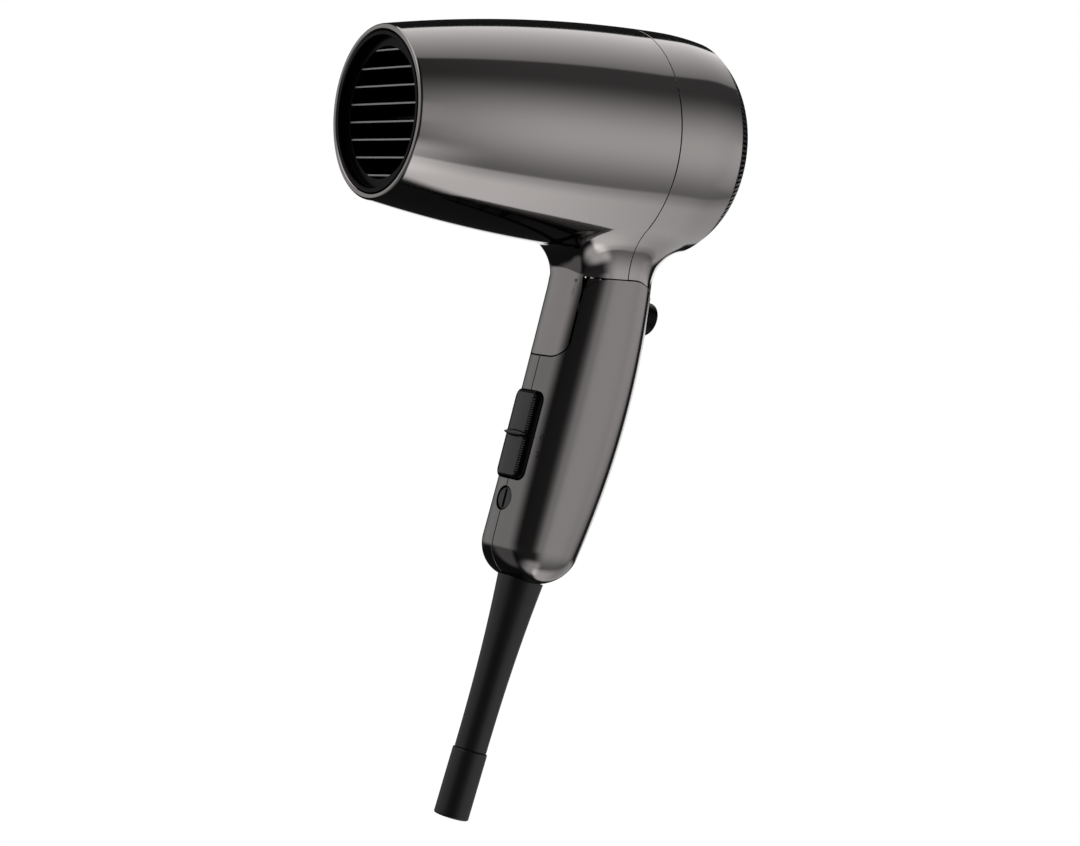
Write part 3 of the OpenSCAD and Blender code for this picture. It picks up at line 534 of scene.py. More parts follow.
def joined(first, *others):
    pick(first)
    for other in others:
        other.select_set(True)
    bpy.ops.object.join()
    return first


def finish(obj, body, nodes, slot, *materials):
    """Brings a piece to metres, dresses it and hands it to the frame."""
    pick(obj)
    obj.scale = (MM, MM, MM)
    bpy.ops.object.transform_apply(location=True, rotation=True, scale=True)
    if not obj.data.materials:
        for material in materials:
            obj.data.materials.append(material)
    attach(obj, body)
    if nodes:
        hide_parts(*nodes)
    return obj


def paint(obj, index, test):
    """Gives a material index to the faces that pass a test of centre and normal."""
    for face in obj.data.polygons:
        if test(face.center, face.normal):
            face.material_index = index


# Finishes

def new_group(name, inputs, outputs):
    group = bpy.data.node_groups.new(name, "ShaderNodeTree")
    for label, kind, default in inputs:
        socket = group.interface.new_socket(name=label, in_out="INPUT", socket_type=kind)
        if default is not None:
            socket.default_value = default
    for label, kind in outputs:
        group.interface.new_socket(name=label, in_out="OUTPUT", socket_type=kind)
    return group, group.nodes.new("NodeGroupInput"), group.nodes.new("NodeGroupOutput")


def feed(tree, value, socket):
    """Links a socket to another's value, or sets a plain one."""
    if isinstance(value, bpy.types.NodeSocket):
        tree.links.new(value, socket)
    else:
        socket.default_value = value


def math_node(tree, operation, *values):
    node = tree.nodes.new("ShaderNodeMath")
    node.operation = operation
    for socket, value in zip(node.inputs, values):
        feed(tree, value, socket)
    return node.outputs[0]


def noise(tree, vector, scale, detail=2.0, roughness=0.5):
    node = tree.nodes.new("ShaderNodeTexNoise")
    node.inputs["Detail"].default_value = detail
    node.inputs["Roughness"].default_value = roughness
    tree.links.new(vector, node.inputs["Vector"])
    feed(tree, scale, node.inputs["Scale"])
    return node.outputs["Fac"]


def mix_colour(tree, mask, first, second):
    node = tree.nodes.new("ShaderNodeMix")
    node.data_type = "RGBA"
    tree.links.new(mask, node.inputs["Factor"])
    for socket, rgb in zip((s for s in node.inputs if s.type == "RGBA"), (first, second)):
        socket.default_value = (*rgb, 1.0)
    return next(s for s in node.outputs if s.type == "RGBA")


def handling_marks():
    """Node group: roughness that wanders a little, as on a handled surface."""
    name = "Handling marks"
    if name in bpy.data.node_groups:
        return bpy.data.node_groups[name]
    group, inputs, outputs = new_group(name, [
        ("Vector", "NodeSocketVector", None), ("Roughness", "NodeSocketFloat", 0.3),
        ("Change", "NodeSocketFloat", 0.1), ("Scale", "NodeSocketFloat", 60.0),
    ], [("Roughness", "NodeSocketFloat")])
    cloud = noise(group, inputs.outputs["Vector"], inputs.outputs["Scale"], 4.0, 0.6)
    swing = math_node(group, "MULTIPLY", math_node(group, "SUBTRACT", cloud, 0.5), inputs.outputs["Change"])
    group.links.new(math_node(group, "ADD", inputs.outputs["Roughness"], swing), outputs.inputs["Roughness"])
    return group


def moulded_grain():
    """Node group: fine grain of a moulded or painted surface, as a mask and a normal."""
    name = "Moulded grain"
    if name in bpy.data.node_groups:
        return bpy.data.node_groups[name]
    group, inputs, outputs = new_group(name, [
        ("Vector", "NodeSocketVector", None), ("Scale", "NodeSocketFloat", 3000.0),
        ("Strength", "NodeSocketFloat", 0.1), ("Depth", "NodeSocketFloat", 0.00002),
    ], [("Mask", "NodeSocketFloat"), ("Normal", "NodeSocketVector")])
    grain = noise(group, inputs.outputs["Vector"], inputs.outputs["Scale"], 1.0)
    bump = group.nodes.new("ShaderNodeBump")
    group.links.new(inputs.outputs["Strength"], bump.inputs["Strength"])
    group.links.new(inputs.outputs["Depth"], bump.inputs["Distance"])
    group.links.new(grain, bump.inputs["Height"])
    group.links.new(grain, outputs.inputs["Mask"])
    group.links.new(bump.outputs["Normal"], outputs.inputs["Normal"])
    return group


def finish_material(name, rgb, spread, metallic, roughness, change, grain_scale, grain_strength,
                    coat=0.0, mark_scale=60.0, specular=0.5):
    """A finish in two close tones, whose grain and handling marks come from the shared groups.

    A material that has the name already is used as it is, also one that came with the frame.
    """
    if name in bpy.data.materials:
        return bpy.data.materials[name]
    darker = [c * (1 - spread) for c in rgb]
    lighter = [min(1.0, c * (1 + spread)) for c in rgb]
    material = bpy.data.materials.new(name)
    material.use_nodes = True
    tree = material.node_tree
    shader = tree.nodes["Principled BSDF"]
    place = tree.nodes.new("ShaderNodeTexCoord").outputs["Object"]
    grain = tree.nodes.new("ShaderNodeGroup")
    grain.node_tree = moulded_grain()
    grain.inputs["Scale"].default_value = grain_scale
    grain.inputs["Strength"].default_value = grain_strength
    marks = tree.nodes.new("ShaderNodeGroup")
    marks.node_tree = handling_marks()
    marks.inputs["Roughness"].default_value = roughness
    marks.inputs["Change"].default_value = change
    marks.inputs["Scale"].default_value = mark_scale
    tree.links.new(place, grain.inputs["Vector"])
    tree.links.new(place, marks.inputs["Vector"])
    tree.links.new(mix_colour(tree, grain.outputs["Mask"], darker, lighter), shader.inputs["Base Color"])
    tree.links.new(marks.outputs["Roughness"], shader.inputs["Roughness"])
    tree.links.new(grain.outputs["Normal"], shader.inputs["Normal"])
    shader.inputs["Metallic"].default_value = metallic
    shader.inputs["Specular IOR Level"].default_value = specular
    shader.inputs["Coat Weight"].default_value = coat
    shader.inputs["Coat Roughness"].default_value = 0.05
    return material


def palette():
    return bpy.context.scene.dryer_colours


def shell_paint():
    return finish_material("gunmetal_paint", palette().gunmetal, spread=0.12, metallic=1.0,
                           roughness=0.08, change=0.03, grain_scale=9000.0,
                           grain_strength=0.015, coat=0.4)


# The same paint as the shells, a little rougher; its darker colour is painted shade on the handle.
def grip_paint():
    return finish_material("grip_paint", palette().grip, spread=0.12, metallic=1.0,
                           roughness=0.14, change=0.06, grain_scale=9000.0,
                           grain_strength=0.02, coat=0.4)


def black_trim():
    return finish_material("black_trim", palette().trim, spread=0.25, metallic=0.0,
                           roughness=0.34, change=0.14, grain_scale=3500.0,
                           grain_strength=0.12, specular=0.16)


def plate_black():
    return finish_material("satin_plate", palette().plate, spread=0.2, metallic=0.0,
                           roughness=0.4, change=0.12, grain_scale=4200.0,
                           grain_strength=0.2)


def boot_rubber():
    return finish_material("boot_rubber", palette().boot, spread=0.25, metallic=0.0,
                           roughness=0.34, change=0.14, grain_scale=2500.0,
                           grain_strength=0.15, mark_scale=90.0, specular=0.09)


def bare_steel():
    return finish_material("bare_steel", palette().steel, spread=0.15, metallic=1.0,
                           roughness=0.3, change=0.2, grain_scale=2600.0,
                           grain_strength=0.1, mark_scale=300.0)


def fuse_brass():
    return finish_material("fuse_brass", palette().brass, spread=0.15, metallic=1.0,
                           roughness=0.28, change=0.2, grain_scale=2600.0,
                           grain_strength=0.1, mark_scale=300.0)


def mica_sheet():
    return finish_material("mica_sheet", palette().mica, spread=0.5, metallic=0.0,
                           roughness=0.55, change=0.2, grain_scale=700.0,
                           grain_strength=0.2, mark_scale=250.0)


def board_green():
    return finish_material("board_green", palette().board, spread=0.3, metallic=0.0,
                           roughness=0.35, change=0.15, grain_scale=1800.0,
                           grain_strength=0.1, mark_scale=200.0)


def deep_black():
    return finish_material("deep_black", (0.003, 0.003, 0.003), spread=0.3, metallic=0.0,
                           roughness=0.24, change=0.08, grain_scale=3500.0,
                           grain_strength=0.1, specular=0.07)


def heater_wire():
    return finish_material("heater_wire", (0.045, 0.036, 0.03), spread=0.3, metallic=0.9,
                           roughness=0.5, change=0.2, grain_scale=2600.0,
                           grain_strength=0.1, mark_scale=300.0)


# Light grey for the front faces of the black bars: a painted highlight.
def bar_edge():
    return finish_material("bar_edge", (0.42, 0.41, 0.405), spread=0.1, metallic=0.6,
                           roughness=0.35, change=0.1, grain_scale=4000.0,
                           grain_strength=0.1)


def mark_ink():
    return finish_material("mark_ink", (0.01, 0.01, 0.01), spread=0.3, metallic=0.0,
                           roughness=0.45, change=0.1, grain_scale=4000.0,
                           grain_strength=0.1)


# Barrel and neck

def barrel_shell(lines, name, x0, x1, edges):
    """One housing's round wall: edges are the radii of its four corners, outside front first."""
    outer = [(x, lines.barrel_radius(x)) for x in steps_between(x0, x1, max(8, int((x1 - x0) / 2)))]
    inner = [(x, lines.barrel_radius(x, lines.shell_wall)) for x in steps_between(x1, x0, 16)]
    outline = outer + inner
    corners = dict(zip((0, len(outer) - 1, len(outer), len(outline) - 1), edges))
    return smooth(turned(name, soften(outline, corners), BARREL_FACETS, along_x))


def neck_columns(lines):
    """Turns round the neck, from the front middle over one side to the back and home again."""
    shares = (0.0, 0.14, 0.28, 0.42, 0.54, 0.64, 0.73, 0.81, 0.88, 0.94, 0.98, 1.0)
    edge = lines.tongue_half_w / lines.neck_half_w
    front = [math.asin((edge * share) ** (lines.squareness / 2)) for share in shares]
    side = steps_between(front[-1], math.pi, 72)[1:]
    half = front + side
    return half + [-t for t in half[-2:0:-1]], len(front)


def neck_point(lines, turn, z):
    x, y = lines.oval(lines.front_x(z), lines.back_x(z), lines.neck_half_w, turn)
    return Vector((x, y, z))


def neck_low(lines, turn):
    """The neck's lower edge: level at the front, and round under the tail."""
    z = lines.joint_z
    for _ in range(6):
        over = neck_point(lines, turn, z).x - lines.tail_corner_x
        drop = lines.tail_corner_r - math.sqrt(max(0.0, lines.tail_corner_r ** 2 - over ** 2))
        z = lines.joint_z - min(drop if over < lines.tail_corner_r else lines.tail_drop, lines.tail_drop)
        if over < 0:
            z = lines.joint_z
    return z


def neck_column(lines, turn, rows=36, search=(-62.0, -26.0)):
    """Points of one column, from under the barrel's surface out over the blend and down the neck.

    The blend begins between the two heights of search.
    """
    far_r = lines.flare_front_r if math.cos(turn) > 0 else lines.flare_back_r
    radius = lines.flare_side_r + (far_r - lines.flare_side_r) * math.cos(turn) ** 2

    def wall_out(z):
        h = 0.01
        along = neck_point(lines, turn + h, z) - neck_point(lines, turn - h, z)
        up = neck_point(lines, turn, z + h) - neck_point(lines, turn, z - h)
        out = along.cross(up).normalized()
        middle = Vector((lines.handle_x, 0, z))
        return out if out.dot(neck_point(lines, turn, z) - middle) > 0 else -out

    # A ball of the blend's radius is rolled against the neck and the barrel
    low, high = search
    for _ in range(40):
        z = (low + high) / 2
        centre = neck_point(lines, turn, z) + wall_out(z) * radius
        if lines.off_barrel(centre)[0] > radius:
            low = z
        else:
            high = z
    start, stop = -wall_out(z), -lines.off_barrel(centre)[1]
    sweep = start.angle(stop)
    tangent = (stop - start * math.cos(sweep)).normalized()

    def blend(t):
        return centre + radius * (start * math.cos(t) + tangent * math.sin(t))

    bottom = neck_low(lines, turn)
    first, wall = 0.0, max(0.0, z - bottom)
    if z < bottom:
        first, far = 0.0, sweep
        for _ in range(30):
            half = (first + far) / 2
            if blend(half).z < bottom:
                first = half
            else:
                far = half
    total = wall + radius * (sweep - first)
    points = []
    for run in steps_between(0, total, rows):
        points.append(neck_point(lines, turn, bottom + run) if run < wall
                      else blend(first + (run - wall) / radius))
    # Beyond the blend the sheet runs on along the barrel and dips under its surface
    run_out = (tangent * math.cos(sweep) - start * math.sin(sweep)).normalized()
    for run, dip in ((0.7, 0.012), (1.6, 0.05), (2.6, 0.25)):
        point = points[rows] + run_out * run
        gap, out = lines.off_barrel(point)
        points.append(point - out * (gap + dip))
    return points[::-1]


def tongue_point(lines, y, z):
    """Point of the tongue's front: the neck's line at the top, flush with the handle below."""
    e = 1 / lines.squareness
    s = (lines.ref_z - z) / math.cos(lines.handle_tilt)
    for _ in range(5):
        front, back, half = lines.section(s)
        u = (front + back) / 2 - (back - front) / 2 * (1 - abs(y / half) ** lines.squareness) ** e
        s = (lines.ref_z - z - u * math.sin(lines.handle_tilt)) / math.cos(lines.handle_tilt)
    flush = lines.place(u, y, s).x
    front, back = lines.front_x(z), lines.back_x(z)
    level = (front + back) / 2 - (back - front) / 2 * (
        1 - abs(y / lines.neck_half_w) ** lines.squareness) ** e
    share = ease((lines.joint_z - z) / lines.knuckle_r)
    return Vector((level + (flush - level) * share, y, z))


def tongue_end(lines, y):
    """The tongue's lower end, with round corners."""
    r = lines.tongue_corner_r
    over = max(0.0, abs(y) - lines.tongue_half_w + r)
    return lines.tongue_z + r - math.sqrt(max(0.0, r * r - over * over))


def neck_sheet(lines, name, with_tongue):
    """The outside of the neck, drawn down to the tongue at its front."""
    turns, front_count = neck_columns(lines)
    columns = [neck_column(lines, turn) for turn in turns]
    rings = list(zip(*columns))
    obj = first_ring(name, rings[0])
    for ring in rings[1:]:
        next_ring(obj, ring)
    if with_tongue:
        reach = front_count - 1
        mesh = bmesh.from_edit_mesh(obj.data)
        column = mesh.verts.layers.int["column"]
        total = len(turns)
        for edge in mesh.edges:
            if edge.select and not all(v[column] <= reach or v[column] >= total - reach for v in edge.verts):
                edge.select = False
        mesh.select_flush_mode()
        for vert in mesh.verts:
            vert.select = any(e.select for e in vert.link_edges)
        bmesh.update_edit_mesh(obj.data)
        edge = rings[-1]
        for share in steps_between(0, 1, 22)[1:]:
            row = {}
            for i, top in enumerate(edge):
                if i <= reach or i >= total - reach:
                    y = neck_point(lines, turns[i], lines.joint_z).y
                    z = lines.joint_z + (tongue_end(lines, y) - lines.joint_z) * share
                    shift = top - tongue_point(lines, y, lines.joint_z)
                    row[i] = tongue_point(lines, y, z) + shift * (1 - ease((lines.joint_z - z) / 5))
            next_ring(obj, row)
    return close_up(obj)


def cut_flat(obj, x, keep_front):
    """Bisects a sheet at x and keeps one side."""
    return edit_all(obj, bpy.ops.mesh.bisect, plane_co=(x, 0, 0), plane_no=(1, 0, 0),
                    clear_outer=keep_front, clear_inner=not keep_front, threshold=MERGE)


def face_out(obj, lines):
    """Turns an open sheet's faces away from the neck's middle."""
    votes = sum((f.center - Vector((lines.handle_x, 0, f.center.z))).dot(f.normal) * f.area
                for f in obj.data.polygons)
    return edit_all(obj, bpy.ops.mesh.flip_normals) if votes < 0 else obj


def neck_passage(lines):
    """Cutter for the way from the neck into the barrel."""
    inset, facets = lines.shell_wall, 64
    front, back = lines.front_x(lines.joint_z) + inset, lines.back_x(lines.tail_z) - inset
    half = lines.neck_half_w - inset
    outline = [lines.oval(front, back, half, 2 * math.pi * i / facets) for i in range(facets)]
    rings = [[Vector((x, y, z)) for x, y in outline] for z in (lines.tail_z - 12, lines.joint_z / 4)]
    return loft("neck_passage", rings, caps=True)


def tongue_back(lines):
    """Side walls and knuckle behind the tongue's plate."""
    pieces = []
    wall, half = lines.tongue_wall, lines.tongue_half_w - 0.1
    top, low = lines.joint_z + lines.shell_wall, lines.tongue_z + lines.tongue_corner_r
    for side in (-1, 1):
        levels = steps_between(low, top, 8)
        front = [(tongue_point(lines, half, z).x + 0.8 * wall, z) for z in levels]
        outline = front + [(lines.hinge_x, top), (lines.hinge_x, low)]
        piece = prism("tongue_wall", outline, from_side, side * (half - wall), side * half)
        pieces.append(round_edges(piece, 0.2, 2))
    hinge = Vector((lines.hinge_x, 0, lines.hinge_z))
    knuckle = rod("knuckle", hinge, Vector((0, 1, 0)), KNUCKLE_ROD_R, -half, half, KNOB_FACETS)
    pieces.append(round_edges(knuckle, 0.3, 2))
    return pieces


class DRYER_OT_front_housing(bpy.types.Operator):
    """Model the front housing: tapered barrel, front of the neck and the hinge tongue"""
    bl_idname = "dryer.front_housing"
    bl_label = "Front housing"
    bl_options = {"REGISTER", "UNDO"}

    def execute(self, context):
        lines = Lines()
        seam = lines.seam_x - lines.seam_gap / 2
        lip_outside, lip_inside, seam_edge = 0.85, 0.7, 0.12
        edges = (lip_outside, seam_edge, seam_edge, lip_inside)
        barrel = barrel_shell(lines, "front_shell", 0.0, seam, edges)
        carve(barrel, neck_passage(lines))
        neck = face_out(cut_flat(neck_sheet(lines, "front_neck", True), seam, True), lines)
        round_edges(thicken(neck, lines.shell_wall), NECK_EDGE)
        piece = joined(smooth(barrel), neck, *tongue_back(lines))
        finish(piece, "barrel", ["front_housing"], "shell", shell_paint())
        return {"FINISHED"}


class DRYER_OT_rear_housing(bpy.types.Operator):
    """Model the rear housing: the round rear of the barrel and the back of the neck"""
    bl_idname = "dryer.rear_housing"
    bl_label = "Rear housing"
    bl_options = {"REGISTER", "UNDO"}

    def execute(self, context):
        lines = Lines()
        seam = lines.seam_x + lines.seam_gap / 2
        seam_edge, rim_edge = 0.12, 0.3
        edges = (seam_edge, rim_edge, rim_edge, seam_edge)
        barrel = barrel_shell(lines, "rear_shell", seam, lines.rim_x, edges)
        carve(barrel, neck_passage(lines))
        neck = cut_flat(neck_sheet(lines, "rear_neck", False), seam, False)
        neck = face_out(cut_flat(neck, lines.rim_x - 0.05, True), lines)
        round_edges(thicken(neck, lines.shell_wall), NECK_EDGE)
        piece = joined(smooth(barrel), neck)
        finish(piece, "barrel", ["rear_housing"], "shell", shell_paint())
        return {"FINISHED"}


class DRYER_OT_outlet(bpy.types.Operator):
    """Model the outlet: a stepped ring inside the mouth with bars across it"""
    bl_idname = "dryer.outlet"
    bl_label = "Outlet grille"
    bl_options = {"REGISTER", "UNDO"}

    def execute(self, context):
        lines = Lines()
        inset = lines.shell_wall + lines.seat / 2
        bore, step = lines.outlet_bore_r, lines.outlet_bore_r - lines.bar_step
        rear, tube_x, tube_r = 15.0, 10.3, 24.1
        front = 0.1
        outer = [(x, lines.barrel_radius(x, inset)) for x in steps_between(front, rear, 8)]
        inner = [(rear, tube_r), (tube_x, tube_r), (tube_x, step), (lines.bar_x, step),
                 (lines.bar_x, bore), (front, bore)]
        outline = outer + inner
        last = len(outline) - 1
        corners = {0: 0.15, last: 0.3, last - 1: 0.1, last - 2: 0.15}
        ring = turned("outlet_ring", soften(outline, corners), RING_FACETS, along_x)
        # Each bar narrows to a fine front edge
        bars = []
        start, stop, shoulder = lines.bar_x + 0.1, lines.bar_x + lines.bar_depth, lines.bar_x + 1.6
        thick, fine = lines.bar_t / 2, 0.29
        for i in range(lines.bar_count):
            z = (i - (lines.bar_count - 1) / 2) * lines.bar_pitch
            reach = math.sqrt((step + 0.4) ** 2 - z * z)
            side = [(start, z - fine), (start, z + fine), (shoulder, z + thick), (stop, z + thick),
                    (stop, z - thick), (shoulder, z - thick)]
            bar = prism("bar", side, from_side, -reach, reach)
            bars.append(round_edges(bar, 0.12, 2))
        piece = joined(smooth(ring), *bars)
        piece.data.materials.append(deep_black())
        piece.data.materials.append(bar_edge())

        # The bars' front faces inside the shoulder get the light grey: a painted highlight along each bar's
        # front edge.
        def on_highlit_bar_front(centre, normal):
            return (normal.x < -0.7 and abs(centre.x - start) < 0.09
                    and math.hypot(centre.y, centre.z) < step)

        paint(piece, 1, on_highlit_bar_front)
        finish(piece, "barrel", ["outlet_grille"], "black_trim")
        return {"FINISHED"}


def mesh_dome(lines):
    """Perforated dome: a grid of triangles with its corners opened, laid on the barrel's round end."""
    pitch, row = lines.mesh_pitch, lines.mesh_pitch * math.sqrt(3) / 2
    reach = lines.collar_r + 0.5
    across, down = int(2 * reach / pitch) + 4, int(2 * reach / row) + 4
    deselect()
    bpy.ops.mesh.primitive_grid_add(x_subdivisions=across, y_subdivisions=down, size=2.0)
    dome = bpy.context.object
    dome.name = dome.data.name = "intake_mesh"
    bpy.ops.object.mode_set(mode="EDIT")
    mesh = bmesh.from_edit_mesh(dome.data)
    for vert in mesh.verts:
        i, j = round((vert.co.x + 1) / 2 * across), round((vert.co.y + 1) / 2 * down)
        y = (i - across // 2 + 0.5 * (j % 2)) * pitch
        vert.co = Vector((0, y, (j - down // 2) * row))
    bpy.ops.mesh.select_all(action="SELECT")
    bpy.ops.mesh.quads_convert_to_tris(quad_method="SHORTEST_DIAGONAL")
    mesh = bmesh.from_edit_mesh(dome.data)
    for vert in mesh.verts:
        vert.select = math.hypot(vert.co.y, vert.co.z) > reach
    mesh.select_flush_mode()
    bmesh.update_edit_mesh(dome.data)
    bpy.ops.mesh.delete(type="VERT")
    bpy.ops.mesh.select_all(action="SELECT")
    bpy.ops.mesh.bevel(affect="VERTICES", offset=lines.mesh_hole_r, segments=1)
    mesh = bmesh.from_edit_mesh(dome.data)
    for face in mesh.faces:
        # The holes lie on the rows, the webs between them
        level = face.calc_center_median().z / row
        face.select = abs(level - round(level)) < 0.2
    bpy.ops.mesh.delete(type="FACE")
    mesh = bmesh.from_edit_mesh(dome.data)
    for vert in mesh.verts:
        over = max(0.0, math.hypot(vert.co.y, vert.co.z) - lines.shoulder_c)
        vert.co.x = lines.shoulder_x + math.sqrt(lines.shoulder_r ** 2 - over ** 2) - 0.05
    bpy.ops.mesh.select_all(action="SELECT")
    bpy.ops.mesh.normals_make_consistent(inside=False)
    bpy.ops.object.mode_set(mode="OBJECT")
    if sum(f.normal.x for f in dome.data.polygons) < 0:
        edit_all(dome, bpy.ops.mesh.flip_normals)
    return smooth(thicken(dome, MESH_T), 40)


def collar_strip(lines, start, stop, steps):
    """Side view of a piece of the collar between two angles round the shoulder."""
    outside, inside = lines.shoulder_r, lines.shoulder_r - lines.collar_t
    return [(lines.shoulder_x + r * math.cos(a), lines.shoulder_c + r * math.sin(a))
            for r, ends in ((outside, (start, stop)), (inside, (stop, start)))
            for a in steps_between(*ends, steps)]


def slotted_collar(lines):
    """Two rings round the dome, and the bars that stand between them."""
    first, last = lines.rim_angle - 0.015, lines.collar_angle - 0.03
    rings = []
    for start, stop in ((first, first - 0.045), (last + 0.06, last - 0.09)):
        ring = turned("collar_ring", collar_strip(lines, start, stop, 2), RING_FACETS, along_x)
        rings.append(round_edges(ring, 0.15, 2))
    bar = prism("slot_bar", collar_strip(lines, first - 0.03, last + 0.04, 5), from_side,
                -lines.slot_bar / 2, lines.slot_bar / 2)
    collar_r = lines.shoulder_c + lines.shoulder_r * math.sin(first)
    slots = round(2 * math.pi * collar_r / lines.slot_pitch)
    bars = [bar]
    for i in range(1, slots):
        bars.append(bar.copy())
        bars[-1].data = bar.data.copy()
        bars[-1].data.transform(Matrix.Rotation(2 * math.pi * i / slots, 4, "X"))
        bpy.context.collection.objects.link(bars[-1])
    return [*rings, smooth(joined(*bars), 40)]


class DRYER_OT_intake(bpy.types.Operator):
    """Model the intake: a perforated dome in a slotted collar"""
    bl_idname = "dryer.intake"
    bl_label = "Intake mesh"
    bl_options = {"REGISTER", "UNDO"}

    def execute(self, context):
        lines = Lines()
        piece = joined(mesh_dome(lines), *slotted_collar(lines))
        finish(piece, "barrel", ["intake_grille"], "black_trim", black_trim())
        return {"FINISHED"}


# Handle

def handle_half(lines, name, side, inset=0.0, end=None, flat=None, steps=56):
    """A solid half of the handle that reaches up past the joint, with eased edges at its flat side."""
    end = lines.handle_len if end is None else end
    flat = lines.split_gap / 2 if flat is None else flat
    stations = steps_between(-16.0, end - lines.end_r, 44)
    stations += [end - lines.end_r + lines.end_r * math.sin(math.pi / 2 * k / 14) for k in range(1, 15)]
    turns = [math.pi * (0.5 - 0.5 * math.cos(math.pi * (i + 0.5) / steps)) for i in range(steps)]
    eased = 0.3
    quarter = steps_between(0, math.pi / 2, 3)
    rings = []
    for s in stations:
        front, back, half = lines.section(s, inset, end)
        nose = [(front + eased - eased * math.sin(t), flat + eased - eased * math.cos(t)) for t in quarter]
        heel = [(back - eased + eased * math.cos(t), flat + eased - eased * math.sin(t)) for t in quarter]
        arc = [lines.oval(front, back, half, t) for t in turns]
        outline = nose + [(u, max(y, flat + 1.5 * eased)) for u, y in arc] + heel
        rings.append([lines.place(u, side * y, s) for u, y in outline])
    return loft(name, rings, caps=True)


def joint_outline(lines, gap):
    """Side view of the handle's top, with a round front corner."""
    low, wide = lines.hinge_z - 300, 250.0
    nose_r, corner = NOSE_R, lines.tail_corner_r - gap
    centre_z = lines.joint_z - lines.tail_corner_r
    tail = lines.tail_z - gap
    stop = math.asin((tail - centre_z) / corner)
    arc = [(lines.tail_corner_x + corner * math.cos(t), centre_z + corner * math.sin(t))
           for t in steps_between(stop, math.pi / 2, 24)]
    nose_x, nose_z = lines.nose_x + gap - lines.joint_gap, lines.joint_z - gap - nose_r
    nose = [(nose_x + nose_r * math.cos(t), nose_z + nose_r * math.sin(t))
            for t in steps_between(math.pi / 2, math.pi, 32)]
    return ([(lines.hinge_x - wide, low), (lines.hinge_x + wide, low), (lines.hinge_x + wide, tail)]
            + arc + nose + [(lines.hinge_x - wide, nose_z)])


def side_cutter(name, outline, reach):
    return prism(name, outline, from_side, -reach, reach)


def tongue_slot(lines):
    """Front view of the tongue's slot, pushed through the handle's front."""
    r = lines.tongue_corner_r + lines.slide_gap
    half = lines.tongue_half_w + lines.slide_gap
    low = lines.tongue_z - lines.tongue_gap
    quarter = steps_between(0, math.pi / 2, 16)
    right = [(half - r + r * math.sin(t), low + r - r * math.cos(t)) for t in quarter]
    outline = right + [(half, 0.0), (-half, 0.0)] + [(-y, z) for y, z in right[::-1]]
    return prism("tongue_slot", outline, lambda y, z, x: Vector((x, y, z)),
                 lines.hinge_x - 60, lines.hinge_x + 5.6)


def tongue_swing(lines):
    """The room that the tongue's lower end needs as the barrel folds: its edge turned about the hinge."""
    half = lines.tongue_half_w + lines.slide_gap
    hinge = Vector((lines.hinge_x, 0, lines.hinge_z))
    profile = [(-half, 0.0)]
    for y in steps_between(-half, half, 24):
        tip = tongue_point(lines, y, tongue_end(lines, min(abs(y), lines.tongue_half_w)) - lines.tongue_gap)
        profile.append((y, math.hypot(tip.x - hinge.x, tip.z - hinge.z)))
    profile.append((half, 0.0))
    swing = turned("tongue_swing", profile, 96, lambda y, a, b: hinge + Vector((a, y, b)), closed=False)
    tip = tongue_point(lines, 0, lines.tongue_z - lines.tongue_gap) - hinge
    sector = [(hinge.x, hinge.z)]
    for t in steps_between(math.atan2(tip.z, tip.x) - 0.3, -math.pi / 2, 12):
        sector.append((hinge.x + 30 * math.cos(t), hinge.z + 30 * math.sin(t)))
    return carve(swing, side_cutter("sector", sector, 30), "INTERSECT")


def follow_lines(obj, lines):
    """Shades the handle's outside by its true lines, so that no cut shows in the gloss."""
    smooth(obj, 35)
    mesh = obj.data
    normals = [Vector(n.vector) for n in mesh.corner_normals]
    for face in mesh.polygons:
        for corner in face.loop_indices:
            u, y, s = lines.in_handle(mesh.vertices[mesh.loops[corner].vertex_index].co)
            if abs(y) > 0.49 and abs(lines.level(u, y, s)) < 0.02:
                out = lines.way_out(u, y, s)
                if out.dot(face.normal) > 0.9:
                    normals[corner] = out
    mesh.normals_split_custom_set(normals)
    return obj


def screw_places(lines):
    """Depth and distance behind the axis of the two screws."""
    return (lines.back_peak, 11.0), (lines.clamp_s - 11.0, 10.0)


